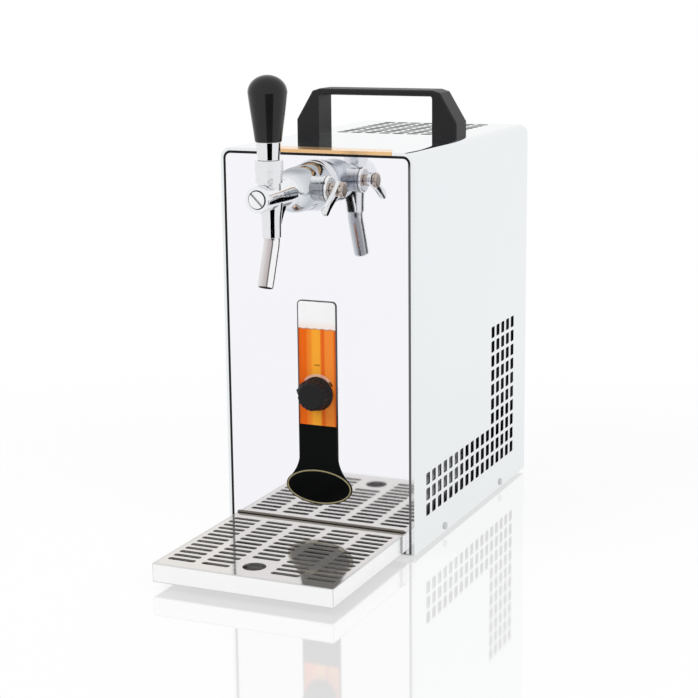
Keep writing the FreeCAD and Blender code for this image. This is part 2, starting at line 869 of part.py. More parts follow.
def lever_cap():
    hollow = dome_r + fit_gap
    z0 = pivot_z + math.sqrt(hollow ** 2 - cap_r ** 2)
    profile = [(0, z0), (cap_r, z0), (cap_r, cap_top - 0.8), (cap_r - 0.8, cap_top), (0, cap_top)]
    cap = turned_z(profile, 0, lever_y)
    cap = cap.cut(Part.makeSphere(hollow, V(0, lever_y, pivot_z)))
    return cap.cut(rod(rod_r + 0.02, 60, V(0, lever_y, pivot_z), V(0, 0, 1)))


def lever_ferrule():
    profile = [(0, cap_top), (ferrule_r0, cap_top), (ferrule_r1, ferrule_top), (0, ferrule_top)]
    ferrule = turned_z(profile, 0, lever_y)
    return ferrule.cut(rod(rod_r + 0.02, 60, V(0, lever_y, pivot_z), V(0, 0, 1)))


def lever_handle():
    def p(r, z):
        return V(r, lever_y, z)

    mid_r, mid_z = dome_mid(handle_r1, handle_wide_z, handle_top)
    edges = [
        seg(p(0, ferrule_top), p(handle_r0, ferrule_top)),
        arc(p(handle_r0, ferrule_top), p(handle_r0 + 3.0, ferrule_top + 21), p(handle_r1, handle_wide_z)),
        arc(p(handle_r1, handle_wide_z), p(mid_r, mid_z), p(0, handle_top)),
        seg(p(0, handle_top), p(0, ferrule_top)),
    ]
    form = Part.Face(Part.Wire(edges)).revolve(V(0, lever_y, 0), V(0, 0, 1), 360)
    return form.cut(rod(rod_r + 0.02, rod_in_handle + 1, V(0, lever_y, ferrule_top - 1), V(0, 0, 1)))


def spout():
    lean = math.radians(spout_lean)
    top = V(0, sleeve_y, sleeve_z + spout_in - face_gap)
    knee = V(0, sleeve_y, sleeve_z - 1.0)
    c = V(0, sleeve_y - spout_bend_r, knee.z)
    mid = V(0, c.y + spout_bend_r * math.cos(lean / 2), c.z - spout_bend_r * math.sin(lean / 2))
    low = V(0, c.y + spout_bend_r * math.cos(lean), c.z - spout_bend_r * math.sin(lean))
    run = (low.z - spout_end_z) / math.cos(lean)
    end = V(0, low.y - run * math.sin(lean), spout_end_z)
    path = Part.Wire([seg(top, knee), arc(knee, mid, low), seg(low, end)])
    shapes = []
    for r in (spout_r, spout_bore):
        ring = Part.Wire(Part.makeCircle(r, top, V(0, 0, -1)))
        shapes.append(path.makePipeShell([ring], True, False))
    return shapes[0].cut(shapes[1])


def comp_nut():
    length = comp_end_x - comp_body_x
    nut = rod(comp_r + 0.5, length, V(comp_body_x, comp_y, comp_z()), V(1, 0, 0))
    edges = [e for e in nut.Edges if abs(e.CenterOfMass.x - comp_end_x) < 0.1 and e.Length > 20]
    nut = nut.makeChamfer(1.0, edges)
    return nut.cut(rod(stem_r + run_fit, 60, V(0, comp_y, comp_z()), V(1, 0, 0)))


def comp_stem():
    x0 = chamber_r + 0.6
    axis = V(1, 0, 0)
    stem = rod(stem_r, comp_arm_x - x0, V(x0, comp_y, comp_z()), axis)
    wide = rod(stem_r + 0.9, comp_arm_x - comp_end_x - fit_gap,
               V(comp_end_x + fit_gap, comp_y, comp_z()), axis)
    hub = rod(stem_r, stem_knob_x0 - comp_arm_x, V(comp_arm_x, comp_y, comp_z()), axis)
    knob = rod(stem_knob_r, stem_end_x - stem_knob_x0, V(stem_knob_x0, comp_y, comp_z()), axis)
    rim = [e for e in knob.Edges if e.Length > 20]
    knob = knob.makeFillet(1.2, rim)
    pin = rod(pin_r, x0 + 1 - 7.5, V(7.5, comp_y, comp_z() + pin_off), axis)
    return stem.fuse([wide, hub, knob, pin])


def comp_arm():
    x = comp_arm_x
    boss = rod(stem_r + 2.4, comp_arm_t, V(x, comp_y, comp_z()), V(1, 0, 0))
    half = comp_arm_w / 2.0
    bar = box(x, x + comp_arm_t, comp_y - comp_arm_l, comp_y, comp_z() - half, comp_z() + half)
    tip = rod(half + 0.5, comp_arm_t, V(x, comp_y - comp_arm_l, comp_z()), V(1, 0, 0))
    hole = rod(1.3, comp_arm_t + 2, V(x - 1, comp_y - comp_arm_l, comp_z()), V(1, 0, 0))
    arm = boss.fuse([bar, tip]).cut(hole)
    arm = one(arm.cut(rod(stem_r + 0.02, 20, V(x - 1, comp_y, comp_z()), V(1, 0, 0))))
    arm.rotate(V(x, comp_y, comp_z()), V(1, 0, 0), comp_arm_drop)
    return arm


def comp_cone():
    room = 1.2
    rear = -flange_t - ring_l - 2.5
    profile = [(rear, 0), (rear, chamber_r - room), (comp_y - 6, chamber_r - room - 0.4),
               (waist_y + 10, piston_r - 1.6), (waist_y + 10, 0)]
    cone = turned_y(profile, tap_z)
    wide = pin_r + 0.5
    core = rod(5.6, 20, V(0, comp_y - 10, tap_z), V(0, 1, 0))
    ring = rod(chamber_r, 2 * wide, V(0, comp_y - wide, tap_z), V(0, 1, 0))
    return cone.cut(ring.cut(core))


# Cooling block and foam

def foam_case():
    half = foam_w / 2.0
    z1 = foam_z + foam_h
    foam = box(-half, half, foam_y, foam_y + foam_d, foam_z, z1)
    foam = foam.cut(block_box(0.0))
    wide = stat_w / 2.0 + stat_room
    tall = stat_h / 2.0 + stat_room
    rear = panel_t + stat_gap + stat_d + 1.0
    foam = foam.cut(box(label_x - wide, label_x + wide, foam_y - 1, rear, knob_z - tall, knob_z + tall))
    return foam.cut(rod(nut_r + 2, shank_in - foam_y + 1, V(0, foam_y - 1, tap_z), V(0, 1, 0)))


def block_box(grow):
    y0 = shank_in
    z0 = tap_z + 16 - block_h
    half = block_w / 2.0 + grow
    return box(-half, half, y0 - grow, y0 + block_d + grow, z0 - grow, z0 + block_h + grow)


def cooling_block():
    block = block_box(0.0)
    port = rod(shank_bore, port_l, V(0, shank_in - 1, tap_z), V(0, 1, 0))
    return block.cut(port)


def block_stand():
    half = foam_w / 2.0
    low = bay_top + floor_t
    plate = box(-half, half, foam_y, foam_y + foam_d, foam_z - bracket_t, foam_z)
    legs = []
    for side in (-1, 1):
        x0 = min(side * half, side * (half - bracket_t))
        legs.append(box(x0, x0 + bracket_t, foam_y + 8, foam_y + foam_d, low, foam_z))
    return plate.fuse(legs)


# Compressor, condenser, fan and pipes

def mount_top():
    return bay_top + floor_t + mount_h


def grommet(sx, sy):
    x = comp_cx + sx * mount_x
    y = comp_cy + sy * mount_y
    z = bay_top + floor_t
    r = mount_r
    profile = [(0, z), (r, z), (r, z + 2.6), (r - 1.6, z + 4.0), (r, z + 5.4),
               (r, z + mount_h), (0, z + mount_h)]
    return turned_z(profile, x, y)


def compressor():
    z0 = mount_top()
    z1 = z0 + plate_t
    seam = (z1 + shell_top) / 2.0
    r = shell_r
    plate = box(comp_cx - mount_x - 9, comp_cx + mount_x + 9,
                comp_cy - mount_y - 9, comp_cy + mount_y + 9, z0, z1)

    def p(q, z):
        return V(comp_cx + q, comp_cy, z)

    shoulder = shell_top - 15.0
    mid_r, mid_z = dome_mid(r, shoulder, shell_top)
    edges = [
        seg(p(0, z1), p(r * 0.78, z1)),
        arc(p(r * 0.78, z1), p(r * 0.94, z1 + 6), p(r, z1 + shell_foot)),
        seg(p(r, z1 + shell_foot), p(r, seam - 3)),
        seg(p(r, seam - 3), p(r + shell_seam, seam - 3)),
        seg(p(r + shell_seam, seam - 3), p(r + shell_seam, seam + 1)),
        seg(p(r + shell_seam, seam + 1), p(r, seam + 1)),
        seg(p(r, seam + 1), p(r, shoulder)),
        arc(p(r, shoulder), p(mid_r, mid_z), p(0, shell_top)),
        seg(p(0, shell_top), p(0, z1)),
    ]
    shell = Part.Face(Part.Wire(edges)).revolve(V(comp_cx, comp_cy, 0), V(0, 0, 1), 360)
    rim = [e for e in shell.Edges if abs(e.CenterOfMass.z - shoulder) < 0.1 and e.Length > r]
    shell = shell.makeFillet(shell_round, rim)
    return plate.fuse(shell)


def condenser():
    half = cond_w / 2.0
    y1 = cond_y + cond_d
    block = box(-half, half, cond_y, y1, cond_z, cond_z + cond_h)
    cuts = []
    pitch = cond_w / (fin_n + 1.0)
    for i in range(fin_n):
        x = -half + (i + 1) * pitch
        cuts.append(box(x - fin_gap / 2, x + fin_gap / 2, cond_y - 1, cond_y + fin_depth,
                        cond_z + 4, cond_z + cond_h - 4))
    block = block.cut(Part.makeCompound(cuts))
    rear = rear_in - pan_t
    sides = [box(-half, -half + 1.5, y1, rear, cond_z, cond_z + cond_h),
             box(half - 1.5, half, y1, rear, cond_z, cond_z + cond_h)]
    return one(block.fuse(sides))


def fan_plane():
    return fan_y + fan_w + 4


def fan_shroud():
    half = cond_w / 2.0
    y = fan_plane()
    plate = box(-half, half, y, y + 1.5, cond_z, cond_z + cond_h)
    wrap = box(-half, half, y + 1.5, cond_y, cond_z, cond_z + cond_h)
    wrap = wrap.cut(box(-half + 1.5, half - 1.5, y, cond_y + 1, cond_z + 1.5, cond_z + cond_h - 1.5))
    ring = rod(fan_ring_r + 1.5, y + 1.5 - fan_y, V(0, fan_y, fan_z), V(0, 1, 0))
    body = plate.fuse([wrap, ring])
    body = body.cut(rod(fan_ring_r, 40, V(0, fan_y - 1, fan_z), V(0, 1, 0)))
    y0 = fan_y - 2 - motor_l - 3
    bar = box(-half, half, y0, y0 + 3, fan_z - 6, fan_z + 6)
    legs = [box(-half, -half + 3, y0, y + 1, fan_z - 6, fan_z + 6),
            box(half - 3, half, y0, y + 1, fan_z - 6, fan_z + 6)]
    return one(body.fuse([bar] + legs))


def fan_motor():
    y0 = fan_y - 2 - motor_l
    body = rod(motor_r, motor_l, V(0, y0, fan_z), V(0, 1, 0))
    rims = [e for e in body.Edges if e.Length > 50]
    body = body.makeChamfer(2.0, rims)
    bore_y = y0 + motor_l - motor_bore_l
    return body.cut(rod(motor_shaft_r + run_fit, motor_bore_l + 1, V(0, bore_y, fan_z), V(0, 1, 0)))


def fan_rotor():
    hub = rod(hub_r, fan_w - 2, V(0, fan_y + 1, fan_z), V(0, 1, 0))
    shaft = rod(motor_shaft_r, 12, V(0, fan_y - 10, fan_z), V(0, 1, 0))
    pieces = [shaft]
    mid = fan_y + fan_w / 2.0
    for i in range(blade_n):
        root = hub_r - 3
        blade = box(-blade_chord / 2, blade_chord / 2, mid - blade_t / 2, mid + blade_t / 2,
                    fan_z + root, fan_z + fan_r)
        blade.rotate(V(0, mid, fan_z), V(0, 0, 1), blade_pitch)
        blade.rotate(V(0, mid, fan_z), V(0, 1, 0), 360.0 * i / blade_n)
        pieces.append(blade)
    rotor = hub.fuse(pieces)
    return rotor.common(rod(fan_r, 60, V(0, fan_y - 20, fan_z), V(0, 1, 0)))


def drier():
    x = side_pipe_x
    y = drier_y
    z0 = drier_z
    z1 = z0 + drier_l
    r = drier_r
    profile = [(0, z0), (2, z0), (r, z0 + 7), (r, z1 - 7), (pipe_r, z1), (0, z1)]
    return turned_z(profile, x, y).fuse(capillary())


def discharge_pipe():
    x = -side_pipe_x
    z = mount_top() + discharge_z
    y = cond_y + cond_d / 2.0
    high = cond_z + cond_h - cond_low
    points = [V(comp_cx - shell_r - face_end, comp_cy, z), V(x, comp_cy, z), V(x, comp_cy, high),
              V(x, y, high), V(-cond_w / 2.0 - face_end, y, high)]
    return bent_rod(points, 3.8, pipe_r)


def liquid_pipe():
    y = cond_y + cond_d / 2.0
    low = cond_z + cond_low
    points = [V(cond_w / 2.0 + face_end, y, low), V(side_pipe_x, y, low),
              V(side_pipe_x, drier_y, low), V(side_pipe_x, drier_y, drier_z + drier_l + face_end)]
    return bent_rod(points, 3.8, pipe_r)


def capillary():
    x = side_pipe_x
    y = line_y
    rear = foam_y + foam_d
    end_x = foam_w / 2.0 - capillary_in
    points = [V(x, drier_y, drier_z + 1), V(x, drier_y, drier_z - 12), V(x, y - 1, drier_z - 12),
              V(x, y - 1, high_line_z), V(end_x, y - 1, high_line_z), V(end_x, rear + face_end, high_line_z)]
    return bent_rod(points, 2.6, capillary_r)


def suction_pipe():
    rear = foam_y + foam_d
    x = suction_in - foam_w / 2.0
    y = line_y + 1.0
    z = mount_top() + suction_z
    points = [V(x, rear + face_end, high_line_z), V(x, y, high_line_z), V(x, y, z), V(comp_cx, y, z),
              V(comp_cx, comp_cy - shell_r - face_end, z)]
    return bent_rod(points, 4.0, pipe_r)


def beer_pipe():
    rear = foam_y + foam_d
    y = line_y + 1.5
    z = foam_z + beer_in_z
    points = [V(beer_x, rear_in - pan_t - inlet_stub, beer_z), V(beer_x, y, beer_z), V(beer_x, y, z),
              V(beer_x, rear + face_end, z)]
    return bent_rod(points, 6.5, beer_r)


def beer_inlet():
    y0 = rear_in - pan_t - inlet_stub + face_end
    y1 = body_d + rear_reach
    tube = rod(beer_r, y1 - y0, V(beer_x, y0, beer_z), V(0, 1, 0))
    flange = rod(inlet_flange_r, inlet_flange_t, V(beer_x, rear_in, beer_z), V(0, 1, 0))
    nut = rod(inlet_flange_r, 5, V(beer_x, rear_in - pan_t - 5, beer_z), V(0, 1, 0))
    body = tube.fuse([flange, nut])
    return one(body.cut(rod(beer_r - 1.0, 2 * inlet_stub + rear_reach + 9, V(beer_x, y0 - 1, beer_z), V(0, 1, 0))))


def cord_gland():
    p = V(gland_x, rear_in - pan_t - 4, beer_z)
    stem = rod(gland_r - 1.7, pan_t + 4, p, V(0, 1, 0))
    back = rod(gland_r, 3, V(gland_x, rear_in - pan_t - 3, beer_z), V(0, 1, 0))
    head = rod(gland_r, gland_l, V(gland_x, rear_in, beer_z), V(0, 1, 0))
    rim = [e for e in head.Edges if e.CenterOfMass.y > rear_in + gland_l - 0.1 and e.Length > 20]
    head = head.makeFillet(2.4, rim)
    body = stem.fuse([back, head])
    return one(body.cut(rod(3.4, 40, V(gland_x, rear_in - 20, beer_z), V(0, 1, 0))))


def build():
    os.makedirs("parts", exist_ok=True)
    save("casing_cover", casing_cover())
    save("base_pan", base_pan())
    save("chassis_floor", chassis_floor())
    save("front_panel", front_panel())
    save("panel_seal", panel_seal())
    save("rear_panel", rear_panel())
    for name, side, rear in (("fl", -1, 0), ("fr", 1, 0), ("rl", -1, 1), ("rr", 1, 1)):
        save("foot_" + name, foot(side, rear))
    for name, side in (("left", -1), ("right", 1)):
        save("side_screw_front_" + name, side_screw(side, side_screw_front))
        save("side_screw_rear_" + name, side_screw(side, side_screw_rear))
        save("grip_screw_" + name, grip_screw(side))
    save("carry_handle", carry_handle())
    save("top_strip", top_strip())
    save("label_plate", label_plate())
    save("thermostat_knob", thermostat_knob())
    save("thermostat_body", thermostat_body())
    save("drip_tray", drip_tray())
    save("drip_grid", drip_grid())
    save("tap_flange", tap_flange())
    save("ring_nut", ring_nut())
    save("tap_shank", tap_shank())
    save("shank_nut", shank_nut())
    save("tap_body", tap_body())
    save("neck_collar", neck_collar())
    save("tap_plug", tap_plug())
    save("piston", piston())
    save("piston_seal", piston_seal())
    save("lever_core", lever_core())
    save("lever_cap", lever_cap())
    save("lever_ferrule", lever_ferrule())
    save("lever_handle", lever_handle())
    save("spout", spout())
    save("comp_nut", comp_nut())
    save("comp_stem", comp_stem())
    save("comp_arm", comp_arm())
    save("comp_cone", comp_cone())
    save("foam_case", foam_case())
    save("cooling_block", cooling_block())
    for name, sx, sy in (("fl", -1, -1), ("fr", 1, -1), ("rl", -1, 1), ("rr", 1, 1)):
        save("grommet_" + name, grommet(sx, sy))
    save("compressor", compressor())
    save("condenser", condenser())
    save("fan_shroud", fan_shroud())
    save("fan_motor", fan_motor())
    save("fan_rotor", fan_rotor())
    save("drier", drier())
    save("discharge_pipe", discharge_pipe())
    save("liquid_pipe", liquid_pipe())
    save("suction_pipe", suction_pipe())
    save("beer_pipe", beer_pipe())
    save("beer_inlet", beer_inlet())
    save("cord_gland", cord_gland())


build()
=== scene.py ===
import json
import math
from contextlib import contextmanager

import bmesh
import bpy
import numpy as np
from bpy.props import FloatProperty, FloatVectorProperty, IntProperty, PointerProperty
from bpy.types import Operator, Panel, PropertyGroup
from mathutils import Matrix, Vector


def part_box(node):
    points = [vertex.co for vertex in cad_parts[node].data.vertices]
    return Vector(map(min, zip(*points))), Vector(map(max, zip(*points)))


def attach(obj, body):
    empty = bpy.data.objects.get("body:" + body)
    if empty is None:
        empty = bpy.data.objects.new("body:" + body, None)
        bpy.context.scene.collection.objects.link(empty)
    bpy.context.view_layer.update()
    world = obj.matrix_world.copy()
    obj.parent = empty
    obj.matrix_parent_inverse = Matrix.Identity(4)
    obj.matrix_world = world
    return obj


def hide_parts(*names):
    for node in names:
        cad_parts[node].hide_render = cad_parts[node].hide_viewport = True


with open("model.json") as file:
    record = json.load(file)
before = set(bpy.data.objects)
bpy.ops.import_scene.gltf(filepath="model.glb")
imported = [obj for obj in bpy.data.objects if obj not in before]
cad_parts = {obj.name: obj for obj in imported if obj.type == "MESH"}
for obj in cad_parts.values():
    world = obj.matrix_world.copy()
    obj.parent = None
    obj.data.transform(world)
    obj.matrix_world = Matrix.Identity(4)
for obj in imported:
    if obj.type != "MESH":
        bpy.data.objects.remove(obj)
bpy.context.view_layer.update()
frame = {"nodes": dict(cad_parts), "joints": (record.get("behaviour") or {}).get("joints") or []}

bl_info = {
    "name": "Counter beer cooler",
    "version": (1, 0, 0),
    "blender": (4, 5, 0),
    "location": "3D View > Sidebar > Cooler",
    "description": "Builds the dressed counter beer cooler round its fixed frame",
    "category": "Object",
}

MM = 0.001

# Places taken from the frame, in metres
COVER_LOW, COVER_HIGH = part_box("casing_cover")
GRID_LOW, GRID_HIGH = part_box("drip_grid")
TRAY_LOW, TRAY_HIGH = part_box("drip_tray")
PLATE_LOW, PLATE_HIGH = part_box("label_plate")
SEAL_LOW, SEAL_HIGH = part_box("panel_seal")
PANEL_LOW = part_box("front_panel")[0]
KNOB_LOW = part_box("thermostat_knob")[0]
FRONT = COVER_LOW.y
BASE = COVER_LOW.z
PLATE_X = (PLATE_LOW.x + PLATE_HIGH.x) / 2
TAP_Z = sum(corner.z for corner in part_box("ring_nut")) / 2
JOINTS = {joint["name"]: joint for joint in frame["joints"]}
PIVOT = Vector(JOINTS["tap_lever"]["pos_m"])
FLOW_PIVOT = Vector(JOINTS["flow_lever"]["pos_m"])
DIAL = Vector(JOINTS["dial_turn"]["pos_m"])

# Sizes that a piece shares with its finish or its neighbour, in metres
BEND = 9 * MM
SLEEVE_Y = FRONT - 79.6 * MM
SLEEVE_Z = TAP_Z - 31.8 * MM
SPOUT_R = 6.35 * MM
SPOUT_LEAN = math.radians(21)
WEB_Y = SLEEVE_Y + 9.6 * MM
WEB_Z = SLEEVE_Z + 0.6 * MM
WEB_REACH = 22 * MM
WEB_RISE = 32 * MM

BLACK = (0.006, 0.006, 0.006)
CORNERS = ("fl", "fr", "rl", "rr")


# Settings

class CoolerSizes(PropertyGroup):
    """Sizes that only the dressed model has."""

    slot_corner: FloatProperty(
        name="Slot corner", description="Corner radius of the square vent slots",
        default=1.3 * MM, subtype="DISTANCE", unit="LENGTH")
    grid_corner: FloatProperty(
        name="Grid slot corner", description="Corner radius of the drip grid's slots",
        default=2.2 * MM, subtype="DISTANCE", unit="LENGTH")
    sheet: FloatProperty(
        name="Sheet", description="Thickness of the cabinet's sheet",
        default=1.2 * MM, subtype="DISTANCE", unit="LENGTH")
    rim: FloatProperty(
        name="Badge rim", description="Width of the raised line round the oval",
        default=1.3 * MM, subtype="DISTANCE", unit="LENGTH")
    flutes: IntProperty(
        name="Dial flutes", description="Grip flutes round the dial knob", default=18, min=6, max=40)


class CoolerColours(PropertyGroup):
    """Colours of the finishes, as linear values."""

    sheet: FloatVectorProperty(
        name="Cabinet sheet", description="Polished stainless of the cabinet",
        default=(0.83, 0.855, 0.87), subtype="COLOR", size=3, min=0, max=1)
    # painted light: the front sheet's colour is a brighter copy of the cabinet's stainless
    mirror: FloatVectorProperty(
        name="Front sheet", description="Mirror-polished stainless of the front",
        default=(0.915, 0.915, 0.95), subtype="COLOR", size=3, min=0, max=1)
    tray: FloatVectorProperty(
        name="Tray steel", description="Stainless of the tray and its grid",
        default=(0.76, 0.73, 0.695), subtype="COLOR", size=3, min=0, max=1)
    chrome: FloatVectorProperty(
        name="Chrome", description="Bright plating of the tap",
        default=(0.78, 0.79, 0.81), subtype="COLOR", size=3, min=0, max=1)
    black: FloatVectorProperty(
        name="Black moulding", description="Handle, dial and tap grip",
        default=(0.012, 0.012, 0.013), subtype="COLOR", size=3, min=0, max=1)
    beer: FloatVectorProperty(
        name="Beer field", description="Orange field on the front plate",
        default=(0.85, 0.14, 0.008), subtype="COLOR", size=3, min=0, max=1)
    gold: FloatVectorProperty(
        name="Badge rim", description="Dull gold line round the oval",
        default=(0.36, 0.32, 0.18), subtype="COLOR", size=3, min=0, max=1)
    floor: FloatVectorProperty(
        name="Floor", description="Plain pale floor",
        default=(0.9, 0.9, 0.9), subtype="COLOR", size=3, min=0, max=1)


class CoolerCamera(PropertyGroup):
    """Where the picture is taken from."""

    place: FloatVectorProperty(
        name="Place", description="Camera position", default=(0.5953, -1.3410, 0.4711),
        subtype="TRANSLATION", unit="LENGTH", size=3)
    azimuth: FloatProperty(
        name="Azimuth", description="Turn of the view from straight in front",
        default=math.radians(24.1722), subtype="ANGLE", unit="ROTATION")
    elevation: FloatProperty(
        name="Elevation", description="Downward tilt of the view",
        default=math.radians(12.1239), subtype="ANGLE", unit="ROTATION")
    roll: FloatProperty(
        name="Roll", description="Turn of the picture about its middle",
        default=math.radians(-0.6054), subtype="ANGLE", unit="ROTATION")
    lens: FloatProperty(
        name="Lens", description="Focal length on a 36 mm sensor, in millimetres", default=89.012, min=10)


# Finishes

class Wire:
    """A number in a shader. Python arithmetic on it adds Math nodes."""

    def __init__(self, tree, socket):
        self.tree = tree
        self.socket = socket

    def node(self, operation, *values):
        """One Math node on the values, in their order."""
        node = self.tree.nodes.new("ShaderNodeMath")
        node.operation = operation
        for slot, value in zip(node.inputs, values):
            feed(self.tree, slot, value)
        return Wire(self.tree, node.outputs[0])

    def math(self, operation, *others):
        """This number, then the others."""
        return self.node(operation, self, *others)

    def flipped(self, operation, other):
        """The other value, then this number."""
        return self.node(operation, other, self)

    def __add__(self, other):
        return self.math("ADD", other)

    def __radd__(self, other):
        return self.flipped("ADD", other)

    def __sub__(self, other):
        return self.math("SUBTRACT", other)

    def __rsub__(self, other):
        return self.flipped("SUBTRACT", other)

    def __mul__(self, other):
        return self.math("MULTIPLY", other)

    def __rmul__(self, other):
        return self.flipped("MULTIPLY", other)

    def __truediv__(self, other):
        return self.math("DIVIDE", other)

    def __pow__(self, other):
        return self.math("POWER", other)

    def above(self, edge):
        """1 above the edge and 0 below it."""
        return self.math("GREATER_THAN", edge)

    def size(self):
        """The number without its sign."""
        return self.math("ABSOLUTE")

    def most(self, other):
        """The larger of the two."""
        return self.math("MAXIMUM", other)

    def wave(self):
        """The sine of the number."""
        return self.math("SINE")

    def band(self, middle, core, edge):
        """1 within core of the middle, 0 past edge from it, and smooth between them."""
        return 1 - (self - middle).size().ramp(core, edge)

    def ramp(self, low, high):
        """0 below low, 1 above high, and smooth between them."""
        node = self.tree.nodes.new("ShaderNodeMapRange")
        node.interpolation_type = "SMOOTHSTEP"
        feed(self.tree, node.inputs["Value"], self)
        node.inputs["From Min"].default_value = low
        node.inputs["From Max"].default_value = high
        return Wire(self.tree, node.outputs["Result"])


def feed(tree, slot, value):
    """Links a shader value to a socket, or sets the socket to a plain number."""
    if isinstance(value, Wire):
        tree.links.new(value.socket, slot)
    elif hasattr(value, "__len__") and len(value) == 3 and slot.type == "RGBA":
        slot.default_value = (*value, 1.0)
    else:
        slot.default_value = value


class Finish:
    """One material: a node tree with a Principled shader and helpers round it."""

    def __init__(self, name):
        self.material = bpy.data.materials.new(name)
        self.material.use_nodes = True
        self.tree = self.material.node_tree
        self.shader = self.tree.nodes["Principled BSDF"]
        self.output = self.tree.nodes["Material Output"]

    def node(self, kind, settings=None, sockets=None):
        """A node of a kind: its settings are made first, then the values or links of its sockets."""
        node = self.tree.nodes.new(kind)
        for key, value in (settings or {}).items():
            setattr(node, key, value)
        for key, value in (sockets or {}).items():
            feed(self.tree, node.inputs[key], value)
        return node

    def out(self, node, key=0):
        """One output of a node."""
        return Wire(self.tree, node.outputs[key])

    def point(self):
        """The point on the piece, in metres."""
        return self.out(self.node("ShaderNodeTexCoord"), "Object")

    def axes(self):
        """X, Y and Z of the point on the piece, in metres."""
        split = self.node("ShaderNodeSeparateXYZ", {}, {0: self.point()})
        return [self.out(split, key) for key in "XYZ"]

    def noise(self, scale, stretch=(1, 1, 1), detail=2.0):
        """Cloudy noise, with scale lumps to the metre times each axis's share in stretch."""
        place = self.node("ShaderNodeMapping", {}, {"Vector": self.point(), "Scale": stretch})
        return self.out(self.node("ShaderNodeTexNoise", {}, {
            "Vector": self.out(place), "Scale": scale, "Detail": detail}))

    def mix(self, share, a, b):
        """Colour a where share is 0 and colour b where it is 1."""
        return self.out(self.node("ShaderNodeMix", {"data_type": "RGBA"}, {0: share, 6: a, 7: b}), 2)

    def cloudy(self, share, colour, dark, bright):
        """One colour, dark times its strength where share is 0 and bright times where it is 1."""
        return self.mix(share, shade(colour, dark), shade(colour, bright))

    def blend(self, share, a, b):
        """Shader a where share is 0 and shader b where it is 1."""
        return self.out(self.node("ShaderNodeMixShader", {}, {0: share, 1: a, 2: b}))

    def set(self, **sockets):
        """Values or links of the Principled shader's sockets."""
        for key, value in sockets.items():
            feed(self.tree, self.shader.inputs[key.replace("_", " ")], value)
        return self

    def bump(self, height, strength, distance):
        """Relief whose heights are up to distance, in metres."""
        self.set(Normal=self.out(self.node("ShaderNodeBump", {}, {
            "Height": height, "Strength": strength, "Distance": distance})))


def shade(colour, factor):
    """The colour with its strength times factor, at most white."""
    return tuple(min(1.0, c * factor) for c in colour)


def sheet_finish(colours, name, inner=0.0):
    """Mirror-polished stainless with a faint upright grain and the smallest waves in the sheet.
    With inner at 1, the skin inside the cover's outer faces is painted dark, as painted shade inside the
    cabinet and behind the vents."""
    f = Finish(name)
    x, _, z = f.axes()
    skin = 0.6 * MM
    out = (x.size() - (COVER_HIGH.x - BEND)).most(0.0)
    up = (z - (COVER_HIGH.z - BEND)).most(0.0)
    # painted shade: inside is 1 on the cover's inner skin, away from its outer face, where the colour turns
    # near black
    inside = (BEND - skin - (out * out + up * up) ** 0.5).above(0) * inner
    grain = f.noise(900, (1, 1, 0.02))
    cloud = f.noise(9)
    # dull is the near black of this painted shade, not a colour of the steel
    dull = (0.02, 0.02, 0.021)
    f.set(Base_Color=f.mix(inside, f.cloudy(cloud, colours.sheet, 0.985, 1.015), dull),
          Metallic=1.0, Roughness=0.04 + 0.03 * grain + 0.02 * cloud)
    f.bump(cloud, 0.04, 0.002)
    return f.material


def mirror_finish(colours):
    """Mirror-polished stainless with hardly any cloudiness, in a colour brighter than the cabinet sheet's
    as painted light.
    """
    f = Finish("front mirror sheet")
    cloud = f.noise(7, detail=1.0)
    f.set(Base_Color=f.cloudy(cloud, colours.mirror, 0.99, 1.01),
          Metallic=1.0, Roughness=0.035 + 0.02 * cloud)
    f.bump(cloud, 0.05, 0.002)
    return f.material


def tray_finish(colours):
    """Warm stainless of the tray, polished, with fine scuffs from glasses."""
    f = Finish("tray steel")
    scuff = f.noise(420, (1, 0.06, 1))
    cloud = f.noise(14)
    f.set(Base_Color=f.cloudy(cloud, colours.tray, 0.97, 1.03),
          Metallic=0.75, Roughness=0.05 + 0.06 * scuff)
    f.bump(cloud, 0.06, 0.002)
    return f.material


def tray_body_finish():
    """Folded sheet of the tray, painted near white, brighter than the grid's steel, as painted light; thin
    grey lines along its folds and rims and a dark inside under the grid are painted shade.
    """
    f = Finish("tray folded sheet")
    x, y, z = f.axes()
    cloud = f.noise(14)
    side = TRAY_HIGH.x - x.size()
    front = y - TRAY_LOW.y
    # painted shade: grey lines along the folds, the foot and the rim
    fold = 1 - side.most(front).ramp(0.25 * MM, 0.6 * MM)
    foot = 1 - (z - TRAY_LOW.z).ramp(0.3 * MM, 0.8 * MM)
    rim = (z - TRAY_HIGH.z).ramp(-0.9 * MM, -0.6 * MM)
    line = fold.most(foot).most(rim * 0.8)
    # painted shade: the tray's inside, under the grid, painted near black
    wall = 1.3 * MM
    inner = (side - wall).ramp(0, 0.2 * MM) * (front - wall).ramp(0, 0.2 * MM)
    # painted light: the tray's steel painted near white
    bright = f.mix(cloud, (0.93, 0.93, 0.93), (0.96, 0.96, 0.96))
    folded = f.mix(line * 0.5, bright, (0.3, 0.29, 0.28))
    f.set(Base_Color=f.mix(inner, folded, (0.05, 0.045, 0.042)), Metallic=0.6,
          Roughness=0.1 + 0.06 * cloud)
    f.bump(cloud, 0.04, 0.002)
    return f.material


